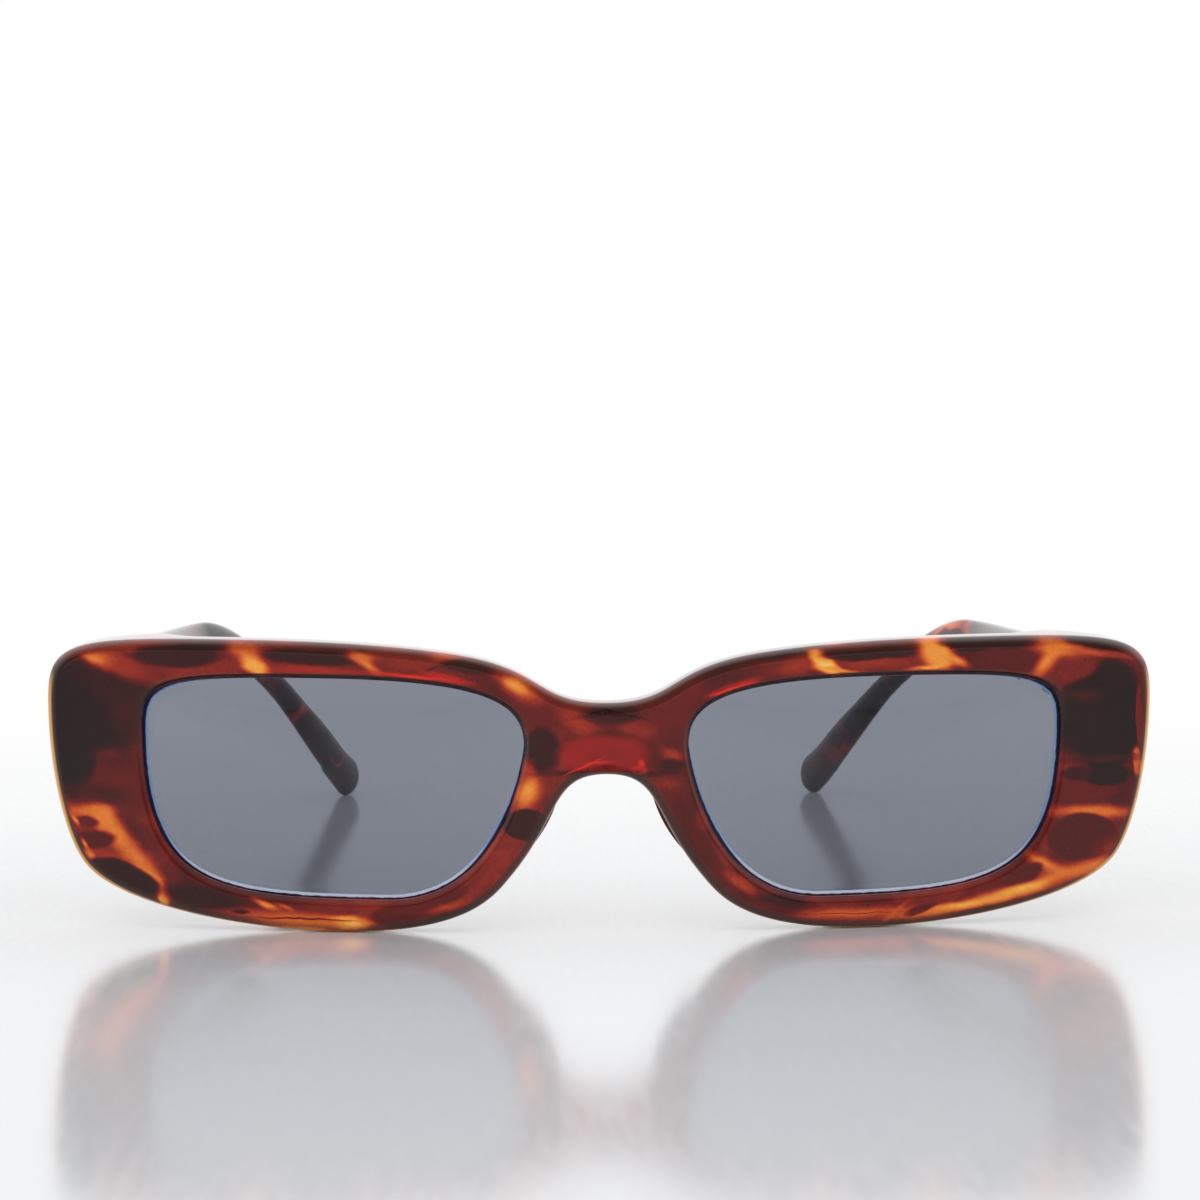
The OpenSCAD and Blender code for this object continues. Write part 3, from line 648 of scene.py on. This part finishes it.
# The front's patches, painted one over another in the flat front, as (x, z, half length, half
# height, turn in degrees, tone, width of the soft edge). Tone 0 is near black and 1 is honey.
FRONT_PATCHES = [
    # the wearer's right end
    # The first patches, near black round the hinge height, are painted shade where the temple's butt
    # and hinge lie behind the end piece.
    (-67.8, 24.7, 3.6, 7.8, 0, 0.05, 1.3),
    (-67.6, 31.2, 3.8, 2.7, 0, 0.11, 1.6),
    (-63.4, 25.9, 3.5, 4.0, 0, 0.13, 2.4),
    (-60.0, 28.0, 2.6, 3.2, 0, 0.28, 2.0),
    (-62.1, 31.0, 5.5, 1.6, -15, 0.22, 1.2),
    (-60.3, 36.1, 3.8, 0.7, 4, 0.6, 0.8),
    (-63.1, 34.3, 2.9, 1.1, -14, 0.74, 0.5),
    (-64.1, 34.4, 1.4, 0.45, -8, 0.88, 0.5),
    (-60.4, 33.3, 2.9, 1.2, -25, 0.58, 1.2),
    (-49.8, 33.9, 6.1, 1.0, 2, 0.52, 0.7),
    (-53.9, 35.0, 5.3, 1.4, 0, 0.25, 0.35),
    (-51.5, 36.1, 3.2, 0.5, 0, 0.15, 0.3),
    (-62.9, 22.2, 2.0, 0.9, 5, 0.4, 1.6),
    (-60.6, 18.3, 4.3, 2.6, 0, 0.42, 2.4),
    (-65.0, 17.3, 4.3, 1.1, -6, 0.32, 1.0),
    (-63.1, 9.0, 3.2, 1.1, -18, 0.6, 0.8),
    (-65.5, 14.9, 2.8, 0.8, 4, 0.78, 0.35),
    (-63.7, 14.0, 1.8, 1.4, -60, 0.84, 0.5),
    (-61.9, 11.7, 2.7, 1.3, -50, 0.84, 0.6),
    (-59.6, 9.2, 2.7, 1.1, -42, 0.8, 0.7),
    (-57.6, 6.6, 2.3, 0.85, -50, 0.84, 0.5),
    (-56.3, 4.3, 1.7, 0.8, -68, 0.94, 0.3),
    (-65.9, 13.5, 1.5, 0.65, -5, 0.42, 0.25),
    (-65.2, 11.2, 2.8, 1.1, 4, 0.36, 0.3),
    (-67.5, 13.6, 0.7, 0.25, -60, 0.86, 0.2),
    (-66.3, 10.6, 0.75, 0.25, -65, 0.86, 0.2),
    (-65.7, 9.2, 0.85, 0.45, -40, 0.82, 0.3),
    (-61.1, 6.4, 4.6, 1.9, -22, 0.18, 0.35),
    (-51.1, 4.2, 4.9, 1.3, -10, 0.2, 0.8),
    # right rim, lower part
    (-44.6, 2.6, 3.7, 0.55, 2, 0.55, 0.4),
    (-37.8, 1.4, 8.9, 1.1, -3, 0.76, 0.4),
    (-40.1, 0.4, 7.4, 0.3, -3, 0.9, 0.3),
    (-33.3, 2.0, 1.6, 0.3, 0, 0.9, 0.4),
    (-31.9, 1.4, 1.7, 0.75, 0, 0.97, 0.5),
    (-26.7, 2.1, 2.8, 1.2, -4, 0.38, 0.3),
    (-43.0, 3.6, 1.6, 0.4, -20, 0.87, 0.2),
    (-40.5, 3.2, 1.1, 0.25, -25, 0.72, 0.3),
    (-46.2, 2.5, 0.9, 0.25, -4, 0.25, 0.2),
    (-38.3, 1.8, 4.8, 0.1, -1, 0.35, 0.1),
    (-18.6, 4.2, 3.0, 0.45, 25, 0.56, 0.35),
    (-24.2, 3.3, 4.2, 0.6, 8, 0.42, 0.6),
    # right rim, upper part
    (-36.4, 33.6, 6.7, 0.7, -3, 0.52, 0.4),
    (-37.5, 35.1, 5.7, 0.95, -3, 0.22, 0.3),
    (-45.1, 35.3, 2.6, 1.0, -38, 0.8, 0.5),
    (-44.0, 33.8, 1.7, 0.8, -30, 0.94, 0.3),
    (-45.0, 36.2, 1.9, 0.6, 0, 0.72, 0.4),
    (-44.1, 33.8, 1.2, 0.4, 0, 0.94, 0.3),
    (-25.1, 34.6, 4.0, 1.3, -8, 0.52, 0.5),
    (-30.2, 34.5, 2.1, 0.5, -38, 0.84, 0.3),
    (-30.7, 35.2, 1.5, 0.5, -4, 0.78, 0.4),
    (-20.5, 35.2, 1.1, 0.35, -10, 0.68, 0.4),
    (-18.2, 34.1, 2.1, 0.6, -5, 0.28, 0.4),
    (-22.4, 33.5, 1.7, 0.15, 28, 0.32, 0.2),
    # bridge
    (-20.3, 35.3, 1.9, 0.55, -5, 0.7, 0.5),
    (-17.5, 34.1, 3.0, 0.7, -8, 0.28, 0.3),
    (-8.6, 27.7, 3.2, 1.6, 0, 0.43, 1.2),
    (-11.2, 31.8, 2.6, 1.2, -35, 0.8, 0.8),
    (-11.5, 31.7, 1.2, 0.55, -30, 0.9, 0.5),
    (-3.5, 27.1, 2.6, 1.1, -35, 0.6, 0.8),
    (3.8, 26.5, 2.1, 1.4, 0, 0.55, 1.0),
    (0.8, 28.2, 3.7, 1.2, 0, 0.28, 0.5),
    (0.3, 25.1, 2.5, 0.8, 0, 0.38, 0.5),
    # Painted shade where the nose pad lies behind the bridge.
    (-8.1, 23.6, 2.3, 2.8, 0, 0.24, 0.8),
    (8.4, 23.0, 1.4, 0.7, -20, 0.62, 0.5),
    (8.0, 21.6, 1.7, 0.8, 0, 0.28, 0.5),
    (7.8, 19.3, 1.6, 0.7, -5, 0.52, 0.8),
    (-9.9, 21.0, 0.85, 1.3, 0, 0.62, 0.8),
    (-10.0, 18.0, 2.2, 1.4, 62, 0.82, 0.6),
    (-9.9, 18.6, 1.1, 0.65, 60, 0.9, 0.5),
    (-10.2, 14.1, 2.8, 1.9, 0, 0.24, 0.15),
    (-15.6, 6.8, 3.2, 0.6, 47, 0.53, 0.5),
    (-20.0, 3.6, 2.4, 0.45, 16, 0.64, 0.5),
    (-13.0, 11.4, 1.1, 0.4, 15, 0.5, 0.5),
    (12.2, 14.6, 0.8, 1.6, 0, 0.48, 0.8),
    (15.0, 9.3, 2.5, 0.45, -55, 0.5, 0.4),
    (16.9, 6.4, 2.2, 0.6, -38, 0.66, 0.5),
    (8.5, 28.9, 4.2, 0.95, 25, 0.44, 0.8),
    (0.1, 20.6, 6.1, 0.35, 0, 0.18, 0.4),
    # left rim, upper part
    (23.9, 33.8, 2.4, 0.9, 10, 0.6, 0.7),
    (21.6, 35.5, 4.2, 0.55, 10, 0.26, 0.4),
    (33.9, 34.1, 5.6, 0.85, 0, 0.57, 0.5),
    (26.5, 35.8, 0.85, 0.4, 0, 0.76, 0.3),
    (27.6, 34.1, 2.6, 0.85, -38, 0.93, 0.25),
    (27.7, 33.6, 1.3, 0.55, -10, 1.0, 0.4),
    (29.4, 33.3, 2.3, 0.25, -6, 0.88, 0.3),
    (33.5, 35.3, 5.8, 0.75, 2, 0.21, 0.25),
    (28.8, 36.5, 1.2, 0.1, 4, 0.7, 0.2),
    (41.3, 36.6, 2.1, 0.65, 0, 0.74, 0.3),
    (42.0, 35.0, 2.5, 1.7, -35, 0.9, 0.5),
    (44.6, 34.2, 1.5, 0.5, -22, 0.88, 0.3),
    (41.2, 33.5, 2.3, 0.25, 6, 0.93, 0.3),
    (46.3, 36.2, 2.7, 0.85, -4, 0.19, 0.3),
    # the wearer's left end
    (49.3, 36.4, 6.1, 0.75, -1, 0.19, 0.3),
    (51.6, 34.1, 5.2, 1.4, -3, 0.38, 0.25),
    # These near-black patches round the hinge height are painted shade where the temple's butt and
    # hinge lie behind the end piece.
    (64.8, 26.3, 4.8, 7.2, 0, 0.08, 1.0),
    (65.3, 31.4, 3.3, 1.5, -4, 0.14, 0.8),
    (61.2, 26.4, 3.2, 5.0, 0, 0.14, 1.6),
    (61.8, 29.2, 2.2, 0.75, 0, 0.3, 1.0),
    (60.4, 32.7, 3.3, 1.6, 18, 0.48, 0.5),
    (56.7, 36.4, 1.8, 0.5, 0, 0.7, 0.3),
    (58.4, 35.3, 3.0, 0.9, -6, 0.86, 0.6),
    (56.6, 33.7, 2.3, 0.9, 48, 0.86, 0.5),
    (62.8, 34.6, 4.0, 0.35, -8, 0.7, 0.3),
    (66.8, 33.9, 2.3, 0.25, -10, 0.56, 0.3),
    (63.7, 35.9, 4.3, 0.8, -10, 0.19, 0.3),
    (69.3, 26.1, 0.5, 4.2, 3, 0.46, 0.3),
    (69.1, 20.1, 0.65, 1.9, 6, 0.74, 0.3),
    (64.3, 20.8, 3.8, 0.5, 0, 0.3, 0.6),
    (61.9, 16.8, 4.3, 1.7, 0, 0.42, 0.6),
    (64.9, 18.6, 3.0, 1.3, 0, 0.11, 0.35),
    (60.9, 19.1, 2.0, 0.9, 0, 0.26, 0.4),
    (63.2, 13.9, 5.5, 0.85, -2, 0.79, 0.35),
    (61.8, 10.6, 4.8, 3.1, 0, 0.35, 0.3),
    (65.8, 8.9, 2.0, 1.3, 20, 0.52, 0.8),
    (60.2, 6.3, 4.3, 0.9, 10, 0.8, 0.5),
    (64.2, 6.8, 2.9, 0.6, 22, 0.83, 0.5),
    (56.6, 7.5, 2.2, 0.65, -30, 0.85, 0.4),
    (54.3, 6.1, 2.4, 1.1, 30, 0.38, 0.25),
    (40.9, 1.8, 4.9, 0.7, 4, 0.78, 0.6),
    (51.8, 3.6, 6.6, 0.85, 10, 0.86, 0.4),
    (54.2, 4.4, 3.5, 0.5, 14, 0.96, 0.5),
    (45.9, 2.6, 3.6, 0.45, 6, 0.96, 0.4),
    (40.0, 2.2, 1.8, 0.5, 15, 0.4, 0.2),
    # left rim, lower part
    (22.6, 3.9, 3.2, 0.75, -10, 0.27, 0.5),
    (31.1, 2.1, 6.0, 0.6, 1, 0.75, 0.3),
    (31.1, 2.1, 4.6, 0.05, 0, 0.45, 0.1),
    (36.5, 1.8, 2.0, 0.25, 38, 0.72, 0.3),
    (40.7, 2.5, 1.7, 0.3, 12, 0.4, 0.2),
    (17.3, 6.4, 1.4, 0.5, -40, 0.62, 0.5)]

# Lines and glows of pure red, as (x, z, half length, half height, turn, strength, soft edge).
RED_LINES = [
    (-3.0, 21.4, 2.2, 0.15, 25, 0.85, 0.15),
    (-1.1, 22.0, 1.6, 0.15, 3, 0.6, 0.15),
    (4.3, 21.9, 0.4, 0.35, 0, 0.8, 0.3),
    (-0.4, 22.9, 5.5, 2.5, 0, 0.28, 0.8),
    (4.0, 21.1, 1.1, 0.55, 0, 0.45, 0.3),
    (15.0, 30.9, 1.9, 0.2, 18, 0.95, 0.15),
    (16.0, 31.3, 3.4, 0.6, 18, 0.3, 0.3),
    (-24.1, 32.8, 4.3, 0.15, -6, 0.9, 0.12),
    (-24.3, 32.7, 5.2, 0.45, -6, 0.3, 0.3),
    (-36.4, 33.4, 5.9, 0.4, -2, 0.25, 0.3),
    (17.3, 31.6, 1.2, 0.25, 12, 0.6, 0.3),
    (-20.1, 32.7, 3.2, 0.4, -12, 0.45, 0.3)]

SHELL_STOPS = [
    (0.00, colour(28, 15, 15)), (0.15, colour(40, 14, 13)), (0.30, colour(66, 14, 12)),
    (0.45, colour(108, 22, 17)), (0.60, colour(164, 45, 25)), (0.72, colour(206, 84, 30)),
    (0.84, colour(236, 128, 44)), (0.94, colour(253, 170, 68)), (1.00, colour(255, 206, 112))]
# The plastic's refraction, the tone between the patches, and the weight of the finest grain
PLASTIC_IOR, GROUND_TONE, FINE_GRAIN = 1.49, 0.43, 0.12
# Painted colours: shade for the band on the rounding, and glow for the line on its outer edge.
SHADE_BAND_COLOUR, PAINTED_GLOW_COLOUR = colour(52, 36, 26), colour(252, 172, 58)
# The first is painted shade for the bevel round the opening.
BEVEL_SHADE_COLOUR, RED_COLOUR = colour(40, 20, 17), colour(235, 40, 30)


def painted(finish, place_mm, patches, ground):
    """A tone painted over by one elliptic patch after another, each with its own soft edge."""
    wander_mm, dark_soft, bright_soft = 0.8, 1.2, 2.2
    close = finish.wandered(place_mm, 0.28, 2.0, wander_mm)
    tone = (finish.noise(place_mm, 0.12, 3.0)[0] - 0.5) * 0.6 + ground
    for x, z, long, high, turn, target, soft in patches:
        soft = soft * (dark_soft if target < 0.5 else bright_soft)
        tone = finish.mix(finish.patch(close, x, z, long, high, turn, soft), tone, target)
    return tone, close


def within(rows, low, high):
    """The patches or lines that reach into a stretch of the front, in their order."""
    chosen = []
    for row in rows:
        span = row[2] + row[3] + 1
        if row[0] + span > low and row[0] - span < high:
            chosen.append(row)
    return chosen


def front_shell_finish(name, low, high):
    """Tortoiseshell of one stretch of the front: the painted patches through a ramp from near
    black over red to honey, red lines, and from its marks a band of painted shade on the rounding,
    painted shade on the bevel and a fine line of painted glow on the outer edge."""
    finish = Finish("tortoiseshell_" + name, Roughness=0.1, IOR=PLASTIC_IOR)
    place_mm = finish.coords()
    tone, close = painted(finish, place_mm, within(FRONT_PATCHES, low, high), GROUND_TONE)
    specks = finish.add("ShaderNodeTexVoronoi", {}, {"Vector": close, "Scale": 0.45})
    chosen = finish.add("ShaderNodeSeparateColor", {}, {0: specks["Color"]})["Red"].ramp(0.62, 0.64)
    tone = tone - specks["Distance"].ramp(0.075, 0.035) * chosen * 0.35
    tone = tone + (finish.noise(place_mm, 2.2, 4.0, 0.65)[0] - 0.5) * FINE_GRAIN
    shade = finish.add("ShaderNodeValToRGB", {"stops": SHELL_STOPS}, {0: tone})["Color"]
    for x, z, long, tall, turn, strength, soft in within(RED_LINES, low, high):
        mask = finish.patch(close, x, z, long, tall, turn, soft) * strength
        shade = finish.mix(mask, shade, RED_COLOUR)
    # Painted shade on the outer rounding, weaker over the lightest tones.
    band = finish.mark("dark_band") * tone.ramp(0.9, 0.6, 0.15, 0.85)
    shade = finish.mix(band, shade, SHADE_BAND_COLOUR)
    # Painted shade on the bevel, then painted glow along the outer edge.
    for mark, share, paint in (("shaded_bevel", 0.9, BEVEL_SHADE_COLOUR), ("bright_edge", 0.85, PAINTED_GLOW_COLOUR)):
        shade = finish.mix(finish.mark(mark) * share, shade, paint)
    finish.feed("Base Color", shade)
    finish.feed("Coat Weight", finish.mark("top_shine"))
    finish.polish(place_mm, 0.12)
    return finish.material


def temple_shell_finish():
    """Tortoiseshell of the temples: an amber and red ground under two layers of dark blotches,
    which are cells with sharp borders, stretched along the temple and bent by noise."""
    finish = Finish("tortoiseshell_temple", Roughness=0.1, IOR=PLASTIC_IOR)
    place_mm = finish.coords()
    bend_mm = 9.0
    bent = finish.wandered(place_mm, 0.12, 3.0, bend_mm)
    tone = finish.noise(bent, 0.1, 2.0)[0].ramp(0.35, 0.8, 0.34, 0.84)
    for scale, low, high, wide in ((0.09, 0.02, 0.26, 0.66), (0.16, 0.08, 0.36, 0.5)):
        cells = finish.add("ShaderNodeTexVoronoi", {}, {
            "Vector": finish.vector("MULTIPLY", bent, (1.3, 0.6, 1.3)), "Scale": scale})
        value = finish.add("ShaderNodeSeparateColor", {}, {0: cells["Color"]})["Red"]
        mask = cells["Distance"].ramp(wide, wide - 0.14) * value.ramp(0.95, 0.85)
        tone = finish.mix(mask, tone, value.ramp(0.0, 0.9, low, high))
    tone = tone + (finish.noise(place_mm, 1.8, 4.0, 0.65)[0] - 0.5) * FINE_GRAIN
    shade = finish.add("ShaderNodeValToRGB", {"stops": SHELL_STOPS}, {0: tone})["Color"]
    finish.feed("Base Color", shade)
    # A clear coat over the ear bend, where the photograph shows a glare
    past_bend = finish.parts(place_mm)[1] - (BEND_Y - MID_Y)
    finish.feed("Coat Weight", past_bend.ramp(-40.0, -15.0) * past_bend.ramp(14.0, 4.0))
    finish.polish(place_mm, 0.14)
    return finish.material


# One material would hold too many patches for the renderer, so each stretch has its own.
STRETCHES = [("right_end", -72, -46), ("right_rim", -46, -15), ("bridge", -15, 15),
             ("left_rim", 15, 46), ("left_end", 46, 72)]
shell_front = [front_shell_finish(*stretch) for stretch in STRETCHES]
shell_temple = temple_shell_finish()


LENS_LOW, LENS_HIGH = colour(124, 129, 141), colour(135, 139, 150)
# Painted glow in blue and white, and painted shade in dark blue, for the ground edge of the lenses.
EDGE_GLOW_BLUE, EDGE_GLOW_WHITE, EDGE_SHADE_DARK = colour(104, 144, 200), colour(182, 194, 214), colour(34, 32, 52)


def lens_finish():
    """Flat grey sheet that lets through about a fifth of the light, a shade darker below."""
    finish = Finish("grey_lens", Roughness=0.0, IOR=1.5, Transmission_Weight=1.0)
    place_mm = finish.coords()
    upward = finish.parts(place_mm)[2].ramp(0.0, 40.0, 0.0, 0.8)
    cloud = finish.noise(place_mm, 0.05, 2.0)[0] * 0.2 + upward
    finish.feed("Base Color", finish.mix(cloud, LENS_LOW, LENS_HIGH))
    return finish.material


def ground_edge_finish():
    """The ground edge of a lens, coloured with painted light: painted shade in dark blue, and a line
    of painted glow, also sent out by a weak emission, that stands in for the light that runs through
    the sheet, thin and blue at the sides, wide and white along the bottom."""
    finish = Finish("ground_lens_edge", Roughness=0.4, IOR=1.5, Emission_Strength=0.3)
    place_mm = finish.coords()
    fleck = finish.noise(place_mm, 1.2, 3.0)[0]
    share = (finish.parts(place_mm)[2] + (fleck - 0.5) * 6).ramp(13.0, 6.0)
    line = finish.mix(share, EDGE_GLOW_BLUE, EDGE_GLOW_WHITE)
    painted_light = finish.mark("edge_light") + share * 0.35 + (fleck - 0.5) * 0.5
    shade = finish.mix(painted_light.ramp(0.7, 0.5), line, EDGE_SHADE_DARK)
    finish.feed("Base Color", shade)
    # The painted colours are also given out by a weak emission, so the edge glows.
    finish.feed("Emission Color", shade)
    return finish.material


def metal_finish():
    """Satin nickel silver with fine scratches."""
    warm_grey = (0.62, 0.58, 0.5, 1)
    finish = Finish("nickel_silver", Base_Color=warm_grey, Metallic=1.0, Roughness=0.3)
    place_mm = finish.coords()
    scratches = finish.noise(finish.vector("MULTIPLY", place_mm, (0.6, 6.0, 6.0)), 1.0, 3.0)[0]
    finish.feed("Roughness", scratches.ramp(0.3, 0.7, 0.22, 0.42))
    finish.bump(scratches, 0.1, 0.02 * MM)
    return finish.material


lens_material = lens_finish()
metal = metal_finish()
lens_edge = ground_edge_finish()
for piece, *materials in ((front_shell, *shell_front), (left_lens, lens_material, lens_edge),
                          (right_lens, lens_material, lens_edge), (left_pad, shell_front[2]),
                          (right_pad, shell_front[2]), (left_arm, shell_temple),
                          (right_arm, shell_temple)):
    for material in materials:
        piece.data.materials.append(material)
# Each face of the front takes the material of the stretch that its centre is in.
centres = np.zeros(len(front_shell.data.polygons) * 3)
front_shell.data.polygons.foreach_get("center", centres)
stretch = np.searchsorted([high * MM for name, low, high in STRETCHES[:-1]], centres[::3])
front_shell.data.polygons.foreach_set("material_index", stretch.astype(np.int32))
for metal_part in ("front_hinge", "temple_hinge", "hinge_screw", "core_wire"):
    for side in ("_left", "_right"):
        for slot in frame["nodes"][metal_part + side].material_slots:
            slot.material = metal


# Table, light, camera

def table_top():
    """A glossy white table that mirrors the object softly, and far behind it turns into the
    plain white that the camera sees there."""
    mesh = bpy.data.meshes.new("table")
    half_size = 4.0
    corners = [(x * half_size, y * half_size, 0) for x, y in ((-1, -1), (1, -1), (1, 1), (-1, 1))]
    mesh.from_pydata(corners, [], [(0, 1, 2, 3)])
    table = bpy.data.objects.new("table", mesh)
    bpy.context.scene.collection.objects.link(table)
    finish = Finish("white_table", Roughness=0.13, IOR=1.6, Coat_Weight=0.5, Coat_Roughness=0.13)
    place_mm = finish.coords()
    grain = finish.noise(finish.vector("MULTIPLY", place_mm, (1.0, 0.15, 1.0)), 0.8, 3.0)[0]
    finish.feed("Roughness", grain.ramp(0.3, 0.7, 0.11, 0.17))
    near_white, far_white = colour(224, 226, 229), colour(234, 235, 237)
    behind = finish.parts(place_mm)[1]
    finish.feed("Base Color", finish.mix(behind.ramp(-120.0, 200.0), near_white, far_white))
    # The white is seen only straight or through the lenses, and grows over 300 mm.
    path = finish.add("ShaderNodeLightPath")
    looked_at = path["Is Camera Ray"].highest(path["Is Transmission Ray"])
    share = behind.ramp(0.0, 300.0) * looked_at
    glossy = Signal(finish, finish.shader.outputs[0])
    white = finish.add("ShaderNodeEmission", {}, {"Strength": 1.0})[0]
    blend = finish.add("ShaderNodeMixShader", {}, {0: share, 1: glossy, 2: white})
    surface = finish.nodes["Material Output"].inputs["Surface"]
    finish.material.node_tree.links.new(blend.node.outputs[0], surface)
    mesh.materials.append(finish.material)


def studio_world():
    """A white dome. Mirrors see it white above and behind the object and dark on the camera's
    side, where the studio is dark."""
    world = bpy.data.worlds.new("studio")
    bpy.context.scene.world = world
    world.use_nodes = True
    tree = world.node_tree
    nodes, links = tree.nodes, tree.links

    def math_node(operation, *values):
        """The result of a Math node of the world on links and numbers."""
        node = nodes.new("ShaderNodeMath")
        node.operation = operation
        for key, value in enumerate(values):
            if isinstance(value, float):
                node.inputs[key].default_value = value
            else:
                links.new(value, node.inputs[key])
        return node.outputs[0]

    direction = nodes.new("ShaderNodeSeparateXYZ")
    links.new(nodes.new("ShaderNodeTexCoord").outputs["Generated"], direction.inputs[0])
    backward = nodes.new("ShaderNodeMapRange")
    backward.interpolation_type = "SMOOTHSTEP"
    links.new(direction.outputs["Y"], backward.inputs["Value"])
    # A tenth of full white where a mirror looks to the camera's side, and full white from
    # straight up to the back
    for key, value in (("From Min", -0.7), ("From Max", 0.2), ("To Min", 0.1), ("To Max", 1.0)):
        backward.inputs[key].default_value = value
    path = nodes.new("ShaderNodeLightPath").outputs
    mirrored_ray = math_node("SUBTRACT", path["Is Glossy Ray"], path["Is Transmission Ray"])
    direct = math_node("SUBTRACT", 1.0, mirrored_ray)
    dome = nodes["Background"]
    dome.inputs["Color"].default_value = (1, 1, 1, 1)
    links.new(math_node("MAXIMUM", backward.outputs[0], direct), dome.inputs["Strength"])


def soft_lamp(name, location, target, size, power):
    """A square area lamp that points at a target, unseen by the camera and by mirrors."""
    lamp = bpy.data.lights.new(name, "AREA")
    lamp.size, lamp.energy = size, power
    holder = bpy.data.objects.new(name, lamp)
    holder.location = Vector(location)
    holder.rotation_euler = (Vector(target) - Vector(location)).to_track_quat("-Z", "Y").to_euler()
    holder.visible_camera = holder.visible_glossy = False
    bpy.context.scene.collection.objects.link(holder)


def photo_camera():
    """The camera of the photograph, from the fit of the front's outline: its place, pitch and
    turn in the object's frame, and the offset of its axis from the picture's middle."""
    focal_px, picture_px, pitch, turn, axis_px = 3197.2, 1200, 3.73, 3.169, 84.87
    place_mm = Vector((-12.28, -399.93 - MID_Y, 68.28))
    camera = bpy.data.cameras.new("photo_camera")
    camera.sensor_width = 36.0
    camera.lens = focal_px / picture_px * camera.sensor_width
    camera.shift_x = -axis_px / picture_px
    camera.clip_start, camera.clip_end = 0.01, 20.0
    holder = bpy.data.objects.new("photo_camera", camera)
    holder.location = place_mm * MM
    holder.rotation_euler = (math.radians(90 - pitch), 0, math.radians(-turn))
    bpy.context.scene.collection.objects.link(holder)
    bpy.context.scene.camera = holder


table_top()
studio_world()
soft_lamp("front_softbox", (-0.15, -1.0, 1.15), (0, 0, 0.02), 1.7, 4.0)
photo_camera()
bpy.context.scene.view_settings.view_transform = "Standard"
